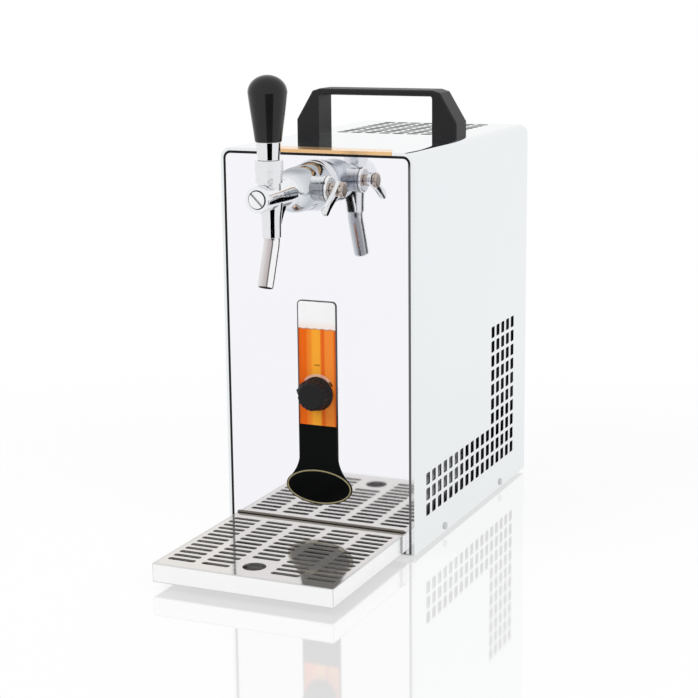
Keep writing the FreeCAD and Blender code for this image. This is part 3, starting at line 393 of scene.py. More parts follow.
def body_finish(colours):
    """Plating of the tap's body, brightened as painted light, with painted shade: greyer towards the panel,
    darker along its top there, black where it joins its web below.
    """
    f = Finish("tap body chrome")
    _, y, z = f.axes()
    out = FRONT - y
    up = z - TAP_Z
    peel = f.noise(160)
    cloud = f.noise(55)
    # painted shade: grey near the panel, darker on top there, black under the barrel where the web joins
    rear = 1 - out.ramp(42 * MM, 56 * MM)
    low = 1 - up.ramp(-6.6 * MM, -5.4 * MM)
    nose = out.ramp(58 * MM, 62 * MM) * (1 - out.ramp(91.2 * MM, 92.8 * MM))
    top = up.ramp(12 * MM, 16 * MM)
    grey = f.mix(cloud, (0.46, 0.49, 0.53), (0.66, 0.69, 0.73))
    # painted light: the chrome brightened by 1.08
    colour = f.mix(rear, shade(colours.chrome, 1.08), grey)
    colour = f.mix(top * rear * 0.5, colour, (0.16, 0.17, 0.19))
    f.set(Base_Color=f.mix(low * nose, colour, (0.006, 0.007, 0.008)), Metallic=1.0,
          Roughness=0.06 + 0.04 * peel)
    f.bump(peel, 0.04, 0.001)
    return f.material


def plug_finish(colours):
    """Plating of the front plug, brightened as painted light, with painted shade: a dark line round it and
    a grey one in its driver slot.
    """
    f = Finish("plug chrome")
    x, _, z = f.axes()
    up = z - TAP_Z
    far = (x * x + up * up) ** 0.5
    # painted shade: a dark line near the rim and grey in the driver slot
    ring = far.ramp(6.5 * MM, 6.7 * MM)
    slot = (x + up).band(0, 0.9 * MM, 1.3 * MM)
    # painted light: the chrome brightened by 1.12
    colour = f.mix(slot * 0.6, shade(colours.chrome, 1.12), (0.12, 0.12, 0.125))
    f.set(Base_Color=f.mix(ring, colour, (0.03, 0.03, 0.033)), Metallic=1.0, Roughness=0.07)
    return f.material


def spout_finish():
    """Drawn stainless of the spout, coloured with painted reflections: warm grey, a thin dark streak, white
    beside it, and grey at the back.
    """
    f = Finish("spout steel")
    x, y, z = f.axes()
    peel = f.noise(220, (1, 1, 0.05))
    across = x / SPOUT_R
    below_knee = (TAP_Z - 36.2 * MM - z).most(0.0)
    axis_y = SLEEVE_Y - below_knee * math.tan(SPOUT_LEAN)
    # painted reflection: the rear half of the tube turns grey
    rear = (y - axis_y).ramp(1.7 * MM, 4.7 * MM)
    # painted reflections: bands across the tube's front, fixed to its side
    right = across.ramp(0.56, 0.62)
    streak = across.band(0.52, 0.05, 0.1)
    left = 1 - across.ramp(-0.5, 0.4)
    colour = f.mix(right, (0.52, 0.475, 0.47), (0.9, 0.9, 0.91))
    colour = f.mix(left * 0.8, colour, (0.78, 0.765, 0.765))
    colour = f.mix(streak * 0.8, colour, (0.09, 0.085, 0.085))
    back = f.mix(across.ramp(-0.9, 0.7), (0.62, 0.64, 0.66), (0.30, 0.31, 0.33))
    f.set(Base_Color=f.mix(rear, colour, back), Metallic=1.0, Roughness=0.1 + 0.06 * peel)
    return f.material


def housing_finish():
    """Satin plating of the flow housing, with a painted highlight along its top and its outer ring and a
    painted shade line just inside that ring.
    """
    f = Finish("housing satin")
    x, _, z = f.axes()
    fine = f.noise(400, (0.1, 1, 1))
    ring_x = 27.6 * MM
    satin = f.mix(fine, (0.34, 0.36, 0.39), (0.42, 0.44, 0.47))
    # painted highlight along the top
    colour = f.mix((z - FLOW_PIVOT.z).ramp(4.5 * MM, 8.5 * MM), satin, (0.74, 0.76, 0.78))
    # painted highlight on the outer ring and a painted shade line just inside it
    colour = f.mix((x - ring_x).ramp(0, 0.6 * MM), colour, (0.86, 0.86, 0.87))
    colour = f.mix(x.band(ring_x - 0.4 * MM, 0.25 * MM, 0.5 * MM), colour, (0.05, 0.05, 0.055))
    f.set(Base_Color=colour, Metallic=1.0, Roughness=0.16 + 0.08 * fine)
    return f.material


def web_finish(colours):
    """Plating of the web, brightened as painted light, with painted shade: a dark line down its rear edge
    that widens to black under the barrel.
    """
    f = Finish("web chrome")
    _, y, z = f.axes()
    peel = f.noise(160)
    height = ((z - WEB_Z) / WEB_RISE).most(0.001)
    edge = WEB_Y + WEB_REACH * height ** 1.63
    inset = 1.5 * MM + 5 * MM * height.ramp(0.35, 0.8)
    # painted shade: the dark line down the rear edge and black under the barrel
    dark = (y - edge + inset).ramp(-0.3 * MM, 0.3 * MM).most(height.ramp(0.6, 0.72))
    # painted light: the chrome brightened by 1.15
    f.set(Base_Color=f.mix(dark, shade(colours.chrome, 1.15), (0.01, 0.011, 0.012)), Metallic=1.0,
          Roughness=0.06 + 0.03 * peel)
    return f.material


def chrome_finish(colours, name="tap chrome", factor=1.0, rough=0.05):
    """Bright plating over a cast body, with the slightest orange peel."""
    f = Finish(name)
    peel = f.noise(160)
    f.set(Base_Color=f.cloudy(peel, colours.chrome, 0.98 * factor, 1.02 * factor),
          Metallic=1.0, Roughness=rough + 0.03 * peel)
    f.bump(peel, 0.04, 0.001)
    return f.material


def black_finish(colours, name="black moulding", rough=0.36, grain=0.35, gloss=0.22):
    """Moulded black plastic with a fine spark-eroded grain."""
    f = Finish(name)
    fine = f.noise(1500)
    worn = f.noise(30, detail=3.0)
    f.set(Base_Color=f.cloudy(worn, colours.black, 0.8, 1.5),
          Roughness=rough + 0.1 * worn + 0.05 * fine, Specular_IOR_Level=gloss)
    f.bump(fine, grain, 0.0002)
    return f.material


def grip_finish(colours):
    """Glossy black tap grip."""
    f = Finish("tap grip gloss")
    worn = f.noise(60)
    f.set(Base_Color=f.cloudy(worn, colours.black, 0.8, 1.3),
          Roughness=0.1 + 0.06 * worn, Specular_IOR_Level=0.3)
    return f.material


def rubber_finish():
    """Dull black rubber of feet and buffers, with a fine grain."""
    f = Finish("black rubber")
    fine = f.noise(800)
    f.set(Base_Color=f.mix(fine, BLACK, (0.016, 0.016, 0.017)), Roughness=0.5 + 0.2 * fine)
    f.bump(fine, 0.2, 0.0002)
    return f.material


def seal_finish():
    """Seal round the front panel: black along the top and down the left, and painted paler down the right
    as painted light.
    """
    f = Finish("panel seal")
    x, _, z = f.axes()
    fine = f.noise(800)
    # painted light: the right side, below the top, is painted paler
    pale = (SEAL_HIGH.z - z).ramp(4 * MM, 12 * MM) * x.above(0)
    f.set(Base_Color=f.mix(pale, BLACK, (0.13, 0.13, 0.135)), Roughness=0.5 + 0.1 * fine,
          Specular_IOR_Level=0.2)
    f.bump(fine, 0.2, 0.0002)
    return f.material


def strip_finish():
    """Glossy orange film."""
    f = Finish("orange film")
    cloud = f.noise(40, detail=1.0)
    f.set(Base_Color=f.mix(cloud, (0.84, 0.50, 0.22), (0.88, 0.56, 0.28)), Metallic=0.5,
          Roughness=0.1 + 0.05 * cloud)
    return f.material


def plate_finish(colours):
    """Printed plate: foam over an upright-streaked beer field, then black, inside a thin dark line."""
    f = Finish("printed plate")
    x, _, z = f.axes()
    foam_z = BASE + 185.4 * MM
    beer_z = BASE + 103.6 * MM
    half = 17.8 * MM
    across = x - PLATE_X
    soft = f.noise(40, (1, 1, 0.05), 1.0)
    wander = across / half + (soft - 0.5) * 0.12
    beer = tuple(colours.beer)
    # streaks: middle and half width as shares of the field's half, strength and colour
    for middle, wide, strength, colour in (
            (-0.02, 0.42, 1.0, (0.97, 0.40, 0.035)),
            (0.62, 0.36, 0.8, (0.95, 0.30, 0.045)),
            (-0.42, 0.16, 0.5, (0.95, 0.33, 0.04)),
            (0.3, 0.14, 0.75, (0.8, 0.11, 0.012))):
        beer = f.mix(wander.band(middle, wide * 0.35, wide) * strength, beer, colour)
    beer = f.mix(wander.size().ramp(0.82, 0.97) * 0.7, beer, (0.45, 0.07, 0.012))
    # foam, warmer towards the beer, with small bubbles and a wavy lower edge
    bubbles = f.noise(900, detail=3.0)
    warm = (foam_z + 9 * MM - z).ramp(0, 9 * MM)
    foam = f.mix(warm * 0.7, (0.96, 0.96, 0.97), (0.93, 0.78, 0.70))
    foam = f.mix(bubbles.ramp(0.45, 0.7) * 0.08, foam, (0.8, 0.78, 0.76))
    edge_z = z + (across * 900).wave() * 0.25 * MM
    field = f.mix((edge_z - foam_z).ramp(-0.5 * MM, 0.5 * MM), beer, foam)
    field = f.mix(edge_z.band(foam_z, 0.2 * MM, 0.8 * MM) * 0.55, field, (0.32, 0.10, 0.03))
    # pale scale arc round the dial, a dark dash at its end, a short plain mark over it
    dx = x - DIAL.x
    dz = z - DIAL.z
    far = (dx * dx + dz * dz) ** 0.5
    slope = dz / far
    arc = far.band(15.3 * MM, 0.8 * MM, 1.5 * MM) * slope.ramp(0.6, 0.75)
    field = f.mix(arc * 0.6, field, (0.85, 0.68, 0.58))
    dash = far.band(15.2 * MM, 0.5 * MM, 1.0 * MM) * slope.ramp(0.42, 0.5) * (1 - slope.ramp(0.66, 0.74))
    field = f.mix(dash * dx.above(0), field, (0.03, 0.015, 0.01))
    mark = dz.band(24 * MM, 0.4 * MM, 0.8 * MM) * dx.band(0, 2.4 * MM, 3.0 * MM)
    field = f.mix(mark * 0.7, field, (0.22, 0.06, 0.02))
    colour = f.mix(z.above(beer_z), (0.002, 0.0025, 0.0025), field)
    # thin dark line along the straight edges and round the two upper corners
    corner = 4 * MM
    side = (across.size() - (half - corner)).most(0.0)
    top = (z - (PLATE_HIGH.z - corner)).most(0.0)
    out = (side ** 2.0 + top ** 2.0) ** 0.5
    line = out.ramp(2.9 * MM, 3.15 * MM) * (z - BASE).ramp(76 * MM, 80 * MM)
    dark = f.mix((z - beer_z).ramp(0, 30 * MM), (0.012, 0.012, 0.013), (0.09, 0.09, 0.095))
    f.set(Base_Color=f.mix(line, colour, dark), Roughness=0.12 + 0.05 * soft, Specular_IOR_Level=0.05)
    return f.material


def gold_finish(colours):
    """Dull gold print of the raised line round the oval."""
    f = Finish("dull gold line")
    fine = f.noise(300)
    f.set(Base_Color=f.cloudy(fine, colours.gold, 0.85, 1.2), Metallic=0.7, Roughness=0.3 + 0.15 * fine)
    return f.material


def plain_finish(name, colour, rough, metal=0.0, scale=60.0, spread=0.12, relief=0.1):
    """A finish for plain parts: one colour with cloudiness and a small relief."""
    f = Finish(name)
    cloud = f.noise(scale, detail=3.0)
    f.set(Base_Color=f.cloudy(cloud, colour, 1 - spread, 1 + spread),
          Metallic=metal, Roughness=rough + 0.12 * cloud)
    f.bump(cloud, relief, 0.0006)
    return f.material


# Shapes

def add_mesh(name, verts, faces, material):
    """Makes one object from an array of points and a list of faces."""
    mesh = bpy.data.meshes.new(name)
    mesh.from_pydata(np.reshape(verts, (-1, 3)).tolist(), [], [tuple(f) for f in faces])
    mesh.materials.append(material)
    piece = bpy.data.objects.new(name, mesh)
    bpy.context.scene.collection.objects.link(piece)
    return piece


@contextmanager
def edited(mesh):
    """The mesh opened for editing, and put back when the block ends."""
    work = bmesh.new()
    work.from_mesh(mesh)
    yield work
    work.to_mesh(mesh)
    work.free()


def add_piece(name, verts, faces, material, body, crease=35.0, closed=True):
    """Makes one piece that rides on a body: doubles are merged, edges past the crease angle stay
    sharp, and the faces of a closed piece are turned outwards."""
    piece = add_mesh(name, verts, faces, material)
    mesh = piece.data
    with edited(mesh) as work:
        bmesh.ops.remove_doubles(work, verts=work.verts, dist=2e-6)
        bmesh.ops.dissolve_degenerate(work, dist=1e-7, edges=work.edges)
    mesh.polygons.foreach_set("use_smooth", np.ones(len(mesh.polygons), bool))
    mesh.set_sharp_from_angle(angle=math.radians(crease))
    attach(piece, body)
    if closed:
        with edited(mesh) as work:
            bmesh.ops.recalc_face_normals(work, faces=work.faces)
    return piece


def coords(x, y, z):
    """Points from three arrays or numbers spread over one grid."""
    return np.stack(np.broadcast_arrays(x, y, z), -1)


def weave(rows, cols, loop_rows=False, loop_cols=False):
    """Quads between neighbours of a rows x cols grid of vertices."""
    i = np.arange(rows if loop_rows else rows - 1)
    j = np.arange(cols if loop_cols else cols - 1)
    i, j = np.meshgrid(i, j, indexing="ij")
    a = i * cols + j
    b = i * cols + (j + 1) % cols
    c = (i + 1) % rows * cols + (j + 1) % cols
    d = (i + 1) % rows * cols + j
    return [tuple(f) for f in np.stack([a, b, c, d], -1).reshape(-1, 4).tolist()]


def prism(count, end=None):
    """Faces of a prism between two outlines of count points. The end faces are given for the
    first outline, as one face round it where they are left out, and repeated on the second."""
    end = end or [tuple(range(count))]
    return weave(2, count, False, True) + end + [tuple(i + count for i in f)[::-1] for f in end]


def mirrored(verts, faces):
    """The same surface on the other side of the middle plane."""
    return verts * np.array([-1, 1, 1]), [f[::-1] for f in faces]


def joined(*parts):
    """Several (verts, faces) pairs as one."""
    verts = []
    faces = []
    at = 0
    for part_verts, part_faces in parts:
        verts.append(part_verts)
        faces += [tuple(i + at for i in f) for f in part_faces]
        at += len(part_verts)
    return np.concatenate(verts), faces


def soften(points, radii, steps=6):
    """Profile whose corners are rounded: each corner p with radius r becomes an arc that
    touches both straight runs, drawn as the quadratic curve (1-t)^2 a + 2t(1-t) p + t^2 b.
    A holding ring beside each end of the arc keeps the straight runs flat to the eye."""
    points = [np.asarray(p, float) for p in points]
    out = [points[0]]
    t = np.linspace(0, 1, steps + 1)[:, None]
    for before, p, after, r in zip(points, points[1:], points[2:], radii):
        if r <= 0:
            out.append(p)
            continue
        back = before - p
        ahead = after - p
        shorter = min(np.linalg.norm(back), np.linalg.norm(ahead))
        back /= np.linalg.norm(back)
        ahead /= np.linalg.norm(ahead)
        cut = min(r, 0.49 * shorter)
        hold = min(0.2 * MM, 0.1 * shorter)
        a = p + back * cut
        b = p + ahead * cut
        out.append(a + back * hold)
        out.extend((1 - t) ** 2 * a + 2 * t * (1 - t) * p + t ** 2 * b)
        out.append(b + ahead * hold)
    out.append(points[-1])
    return np.array(out)


def lathe(profile, origin, axis, turns=72):
    """Surface of revolution: the profile's (along, radius) pairs turned about axis through
    origin, point = origin + along * axis + radius * (cos a * e1 + sin a * e2)."""
    axis = np.asarray(axis, float) / np.linalg.norm(axis)
    help_axis = np.array([1.0, 0, 0]) if abs(axis[0]) < 0.9 else np.array([0, 1.0, 0])
    e1 = np.cross(axis, help_axis)
    e1 /= np.linalg.norm(e1)
    e2 = np.cross(axis, e1)
    a = np.linspace(0, 2 * np.pi, turns, endpoint=False)
    ring = np.cos(a)[:, None] * e1 + np.sin(a)[:, None] * e2
    along = profile[:, 0][:, None, None] * axis
    verts = np.asarray(origin, float) + along + profile[:, 1][:, None, None] * ring
    return verts, weave(len(profile), turns, False, True)


def turned(name, points, radii, origin, axis, material, body="casing", turns=72):
    """A turned piece of the tap, from a cornered profile in millimetres whose corners are rounded
    with the radii."""
    profile = soften(np.array(points, float) * MM, np.array(radii, float) * MM)
    verts, faces = lathe(profile, origin, axis, turns)
    return add_piece(name, verts, faces, material, body)


def punched(cells, plain=(), corner_steps=4):
    """Flat sheet with rounded slots. Each cell is (x0, x1, y0, y1, cx, cy, hx, hy, r): a
    rectangle with a slot of half size hx, hy and corner radius r about cx, cy. The slot's
    edge is cx + sx * (hx - r) + r * cos a, cy + sy * (hy - r) + r * sin a, a quarter turn
    a corner; each corner's arc fans to the cell's corner and quads close the four sides.
    The plain rectangles (x0, x1, y0, y1) fill what lies round the cells."""
    corners = [[1, 3], [0, 3], [0, 2], [1, 2]]
    cells = np.asarray(cells, float)
    plain = np.asarray(plain, float).reshape(-1, 4)
    count = len(cells)
    k = corner_steps + 1
    q = np.arange(4)
    a = q[:, None] * np.pi / 2 + np.linspace(0, np.pi / 2, k)
    sx = np.array([1, -1, -1, 1])[:, None]
    sy = np.array([1, 1, -1, -1])[:, None]
    cx, cy, hx, hy, r = [cells[:, i][:, None, None] for i in range(4, 9)]
    px = cx + sx * (hx - r) + r * np.cos(a)
    py = cy + sy * (hy - r) + r * np.sin(a)
    hole = np.stack([px, py], -1).reshape(count, 4 * k, 2)
    verts = np.concatenate([hole, cells[:, corners]], 1)
    base = np.arange(count)[:, None, None] * (4 * k + 4)
    first = (q[:, None] * k + np.arange(k - 1)).ravel()
    fans = np.stack([first, np.repeat(4 * k + q, k - 1), first + 1], -1) + base
    sides = np.stack([q * k + k - 1, 4 * k + q, 4 * k + (q + 1) % 4, (q + 1) % 4 * k], -1) + base
    rest = verts.size // 2 + np.arange(4 * len(plain)).reshape(-1, 4)
    faces = [tuple(f) for part in (fans.reshape(-1, 3), sides.reshape(-1, 4), rest) for f in part.tolist()]
    return np.concatenate([verts.reshape(-1, 2), plain[:, corners].reshape(-1, 2)]), faces


def slot_field(first_x, first_y, pitch_x, pitch_y, cols, rows, hx, hy, r, skip=None):
    """Cells of a regular slot field; first_x, first_y is the first slot's middle, and skip says
    which columns i and rows j have no slot."""
    i, j = np.meshgrid(np.arange(cols), np.arange(rows), indexing="ij")
    keep = np.full(i.shape, True) if skip is None else ~skip(i, j)
    cx = first_x + i[keep] * pitch_x
    cy = first_y + j[keep] * pitch_y
    one = np.ones(len(cx))
    return np.stack([
        cx - pitch_x / 2, cx + pitch_x / 2, cy - pitch_y / 2, cy + pitch_y / 2,
        cx, cy, hx * one, hy * one, r * one], -1)


def thicken(piece, thickness, offset):
    """Gives a sheet its thickness with a Solidify modifier, with smooth shading off at its rims."""
    with edited(piece.data) as work:
        for edge in work.edges:
            edge.smooth = edge.smooth and not edge.is_boundary
    wall = piece.modifiers.new("wall", "SOLIDIFY")
    wall.thickness = thickness
    wall.offset = offset
    wall.use_even_offset = True


def uprights(name, outline, z1, material):
    """A mirrored pair of prisms from the cabinet's foot up to z1. The outline holds points (x, y)
    in millimetres, y from the front's face."""
    flat = np.array(outline) * MM + np.array([0, FRONT])
    right = np.concatenate([coords(*flat.T, z) for z in (BASE, z1)])
    verts, faces = joined((right, prism(len(flat))), mirrored(right, prism(len(flat))))
    return add_piece(name, verts, faces, material, "casing", 20)


def crossbar(name, x, y, z, material, end=None):
    """A section of points (y, z) carried across the cabinet; x holds a row for each end."""
    return add_piece(name, coords(x, y, z), prism(len(y), end), material, "casing", 20)


def dress(names, material):
    """Gives CAD nodes their finish."""
    for name in names:
        mesh = frame["nodes"][name].data
        mesh.materials.clear()
        mesh.materials.append(material)


# Cabinet

class COOLER_OT_cabinet(Operator):
    """Cabinet cover with rounded vent slots, front panel, seal and the sheet pieces round them"""

    bl_idname = "cooler.cabinet"
    bl_label = "Cabinet"

    def execute(self, context):
        colours = context.scene.cooler_colours
        # the cover's sheet, with painted shade on its inner skin
        steel = sheet_finish(colours, "cabinet sheet", 1.0)
        folded = sheet_finish(colours, "folded sheet")
        self.cover(context.scene.cooler_sizes, steel)
        self.hem(folded)
        mirror = mirror_finish(colours)
        rubber = rubber_finish()
        seal = seal_finish()
        dress(["front_panel"], mirror)
        dress(["panel_seal"], seal)
        self.front_foot(mirror, seal)
        dress(["rear_panel"], folded)
        dress(["base_pan", "chassis_floor"],
              plain_finish("zinc plate", (0.42, 0.43, 0.44), 0.34, 0.9, 25.0, 0.1))
        dress(["foot_" + corner for corner in CORNERS], rubber)
        screws = ["side_screw_front_left", "side_screw_front_right", "side_screw_rear_left",
                  "side_screw_rear_right", "grip_screw_left", "grip_screw_right"]
        dress(screws, chrome_finish(colours, "screw steel", 0.75, 0.2))
        self.strip()
        return {"FINISHED"}

    def cover(self, sizes, steel):
        """The bent cover: two slotted sides, a slotted roof and a quarter-turn bend between them,
        with a narrow flat margin on both sides of the bend."""
        half = COVER_HIGH.x
        top = COVER_HIGH.z
        y0 = COVER_LOW.y
        y1 = COVER_HIGH.y
        margin = 0.6 * MM
        pitch = 13.43 * MM
        half_deep = 4.2 * MM
        half_wide = 5.2 * MM
        low_cols = 12
        low_rows = 3
        tall_cols = 5
        tall_rows = 10
        roof_cols = 8
        roof_rows = 9
        first_y = FRONT + 26.9 * MM + half_deep
        first_z = BASE + 26.3 * MM + half_wide
        slot = (half_deep, half_wide, sizes.slot_corner)
        tall = slot_field(first_y + low_cols * pitch, first_z, pitch, pitch, tall_cols, tall_rows, *slot)
        low = slot_field(first_y, first_z, pitch, pitch, low_cols, low_rows, *slot)
        ya = first_y - pitch / 2
        yb = ya + low_cols * pitch
        yc = yb + tall_cols * pitch
        za = first_z - pitch / 2
        zb = za + low_rows * pitch
        zc = za + tall_rows * pitch
        high = top - BEND - margin
        flat, faces = punched(np.concatenate([tall, low]), [
            (y0, ya, COVER_LOW.z, high), (yc, y1, COVER_LOW.z, high),
            (ya, yb, COVER_LOW.z, za), (yb, yc, COVER_LOW.z, za),
            (ya, yb, zb, high), (yb, yc, zc, high)])
        side = (coords(half, *flat.T), faces)
        span = half - BEND - margin
        xa = roof_cols / 2 * pitch
        roof_y = FRONT + 157.0 * MM + half_deep
        ta = roof_y - pitch / 2
        tb = ta + roof_rows * pitch
        field = slot_field(pitch / 2 - xa, roof_y, pitch, pitch, roof_cols, roof_rows,
                           half_wide, half_deep, sizes.slot_corner)
        flat, faces = punched(field, [
            (-span, -xa, y0, y1), (xa, span, y0, y1), (-xa, xa, y0, ta), (-xa, xa, tb, y1)])
        roof = (coords(*flat.T, top), faces)
        a = np.linspace(0, np.pi / 2, 17)
        x = np.concatenate([[half], half - BEND + BEND * np.cos(a), [span]])
        z = np.concatenate([[high], top - BEND + BEND * np.sin(a), [top]])
        bend = (coords(np.repeat(x, 2), np.tile([y0, y1], len(x)), np.repeat(z, 2)), weave(len(x), 2))
        verts, faces = joined(side, mirrored(*side), roof, bend, mirrored(*bend))
        cover = add_piece("cabinet_cover", verts, faces, steel, "casing", 30, closed=False)
        thicken(cover, sizes.sheet, -1)
        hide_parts("casing_cover")

    def hem(self, steel):
        """Folded front hem, a bright strip round the seal: an arch outline (x, z) from just inside
        the cover's face to 2.5 mm inside it, from just before the cover's edge to 8 mm behind."""
        a = np.linspace(0, np.pi / 2, 13)
        rails = []
        for inset in (0.05 * MM, 2.5 * MM):
            r = BEND - inset
            x = np.concatenate([[COVER_HIGH.x - inset], COVER_HIGH.x - BEND + r * np.cos(a)])
            z = np.concatenate([[COVER_LOW.z], COVER_HIGH.z - BEND + r * np.sin(a)])
            rails.append(np.c_[np.concatenate([x, -x[::-1]]), np.concatenate([z, z[::-1]])])
        outer, inner = rails
        count = len(outer)
        ring = np.stack([outer, inner, inner, outer])
        y = FRONT + np.array([-0.05, -0.05, 8, 8])[:, None] * MM
        first = np.arange(4) * count
        faces = weave(4, count, True, False) + [tuple(first), tuple(first[::-1] + count - 1)]
        add_piece("front_hem", coords(ring[:, :, 0], y, ring[:, :, 1]), faces, steel,
                  "casing", 20)

    def front_foot(self, mirror, seal):
        """The front's foot: folded sheet cheeks beside the tray, the seal's lower ends, and the fold under
        the panel, a bent section (y, z) over the tray's grid, coloured dark as painted shade over the grid."""
        gap = 0.02 * MM
        uprights("bay_cheeks",
                 [(78.48, 0.03), (81.35, 0.03), (81.35, 8), (80.0, 8), (80.0, 1.23), (78.48, 1.23)],
                 PANEL_LOW.z + gap, mirror)
        uprights("seal_feet", [(81.4, 0.9), (81.7, 0.5), (83.0, 0.5), (83.3, 0.9), (83.3, 6), (81.4, 6)],
                 SEAL_LOW.z + gap, seal)
        # painted shade: the fold under the panel is coloured dark brownish grey for the shaded gap over the
        # grid
        foot = plain_finish("panel foot", (0.24, 0.21, 0.185), 0.35, 0.3)
        upper = PANEL_LOW.z + 0.8 * MM
        lower = GRID_HIGH.z + 0.25 * MM
        x = np.array([[GRID_LOW.x], [GRID_HIGH.x]])
        y = FRONT + np.array([-0.25, -0.25, 0.1, 1.4, 1.4]) * MM
        z = np.array([upper, lower + 0.35 * MM, lower, lower, upper])
        crossbar("panel_foot", x, y, z, foot)

    def strip(self):
        """Film on the roof, folded down over its front edge, with its right end cut at a slant:
        an L-shaped section (y, z) carried across in x."""
        y = FRONT + np.array([20.5, 20.5, -0.4, -0.4, -0.1, -0.1]) * MM
        z = COVER_HIGH.z + np.array([0.02, 0.35, 0.35, -2.4, -2.4, 0.02]) * MM
        slant = 0.36 * (y[0] - y)
        x = np.stack([np.full(len(y), -52 * MM), 60 * MM + slant])
        film = crossbar("orange_strip", x, y, z, strip_finish(),
                        [(0, 1, 2, 5), (2, 3, 4, 5)])
        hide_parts("top_strip")


# Handle

class COOLER_OT_handle(Operator):
    """Moulded carrying handle on the roof"""

    bl_idname = "cooler.handle"
    bl_label = "Carrying handle"

    def execute(self, context):
        dress(["carry_handle"], black_finish(context.scene.cooler_colours))
        return {"FINISHED"}


# Plate and dial

class COOLER_OT_plate(Operator):
    """Printed front plate with its beer field, bare oval and raised rim line"""

    bl_idname = "cooler.plate"
    bl_label = "Front plate"

    def execute(self, context):
        sizes = context.scene.cooler_sizes
        colours = context.scene.cooler_colours
        dress(["label_plate"], plate_finish(colours))
        self.rim(sizes.rim / 2, gold_finish(colours))
        return {"FINISHED"}

    def rim(self, half, gold):
        """Raised oval line: a half-round section turned round the ellipse (rx cos a, rz sin a), with
        point = ellipse + outward normal * half * cos w, lifted off the plate by 0.4 mm * sin w."""
        rx = 28.9 * MM
        rz = 14.05 * MM
        middle_z = BASE + 50.15 * MM
        a = np.linspace(0, 2 * np.pi, 160, endpoint=False)[:, None]
        w = np.linspace(0, np.pi, 9)
        nx = np.cos(a) * rz
        nz = np.sin(a) * rx
        out = np.cos(w) * half / np.hypot(nx, nz)
        x = PLATE_X + rx * np.cos(a) + nx * out
        z = middle_z + rz * np.sin(a) + nz * out
        y = PLATE_LOW.y + 0.05 * MM - np.sin(w) * 0.4 * MM
        add_piece("oval_rim", coords(x, y, z), weave(len(a), len(w), True, False), gold,
                  "casing", 60)


class COOLER_OT_dial(Operator):
    """Fluted dial knob with its pointer wing"""

    bl_idname = "cooler.dial"
    bl_label = "Temperature dial"

    def execute(self, context):
        sizes = context.scene.cooler_sizes
        colours = context.scene.cooler_colours
        black = black_finish(colours, "dial black", 0.42, 0.2, 0.14)
        # radius(angle, along): a flare at the foot, flutes that fade at both ends, a dished face
        along = np.array([0, 0.6, 1.6, 2.2, 3.2, 5, 7, 9, 11, 12.4, 13.4, 14.0, 14.3, 14.0, 13.7, 13.5])
        radius = np.array([14.0, 14.4, 14.3, 13.7, 13.1, 12.9, 12.7, 12.5, 12.3, 12.1, 11.7, 11.0, 10.0,
                           9.0, 5.0, 0.001])
        depth = np.array([0, 0, 0, 0.1, 0.7, 1, 1, 1, 1, 1, 0.8, 0.3, 0, 0, 0, 0])
        deepest = 0.75
        wing_angle = 2.85
        wing_half = 0.5
        wing_reach = 3.2
        wing_end = 11.5
        a = np.linspace(0, 2 * np.pi, 216, endpoint=False)
        flute = np.maximum(0, np.cos(a * sizes.flutes)) ** 0.7
        wing = wing_reach * np.clip(1 - np.abs(a - wing_angle) / wing_half, 0, 1)
        keep = np.clip((wing_end - along) / 1.5, 0, 1) * (along > 0.3)
        r = (radius[:, None] - deepest * depth[:, None] * flute + wing * keep[:, None]) * MM
        y = KNOB_LOW.y + (along.max() - along[:, None]) * MM
        verts = coords(DIAL.x + r * np.cos(a), y, DIAL.z + r * np.sin(a))
        knob = add_piece("dial_knob", verts, weave(len(along), len(a), False, True), black,
                         "knob", 40)
        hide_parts("thermostat_knob")
        return {"FINISHED"}


# Tray

class COOLER_OT_tray(Operator):
    """Drip tray and its slotted grid with the finger hole"""

    bl_idname = "cooler.tray"
    bl_label = "Drip tray"

    def execute(self, context):
        sizes = context.scene.cooler_sizes
        colours = context.scene.cooler_colours
        steel = tray_finish(colours)
        col = 30.4 * MM
        row = 9.35 * MM
        cols = 5
        rows = 13
        hx = 12.2 * MM
        hy = 2.75 * MM
        hole_r = 9.5 * MM
        hole_y = TRAY_LOW.y + 23.3 * MM
        hole_rows = 3
        first = TRAY_LOW.y + 16.2 * MM

        def under_hole(i, j):
            """The slots that the finger hole takes the place of."""
            return (i == cols // 2) & (j < hole_rows)

        x0 = GRID_LOW.x
        x1 = GRID_HIGH.x
        y0 = GRID_LOW.y
        y1 = GRID_HIGH.y
        xa = cols / 2 * col
        ya = first - row / 2
        yb = ya + rows * row
        cells = slot_field(col / 2 - xa, first, col, row, cols, rows, hx, hy, sizes.grid_corner, under_hole)
        round_hole = [-col / 2, col / 2, ya, ya + hole_rows * row, 0, hole_y, hole_r, hole_r, hole_r]
        flat, faces = joined(
            punched(cells, [(x0, -xa, y0, y1), (xa, x1, y0, y1), (-xa, xa, y0, ya), (-xa, xa, yb, y1)]),
            punched([round_hole], corner_steps=12))
        grid = add_piece("tray_grid", coords(*flat.T, GRID_HIGH.z), faces, steel,
                         "grid", 30, closed=False)
        thicken(grid, GRID_HIGH.z - GRID_LOW.z, -1)
        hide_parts("drip_grid")
        # the tray's body, with painted light and painted shade in its colour
        dress(["drip_tray"], tray_body_finish())
        return {"FINISHED"}


# Tap

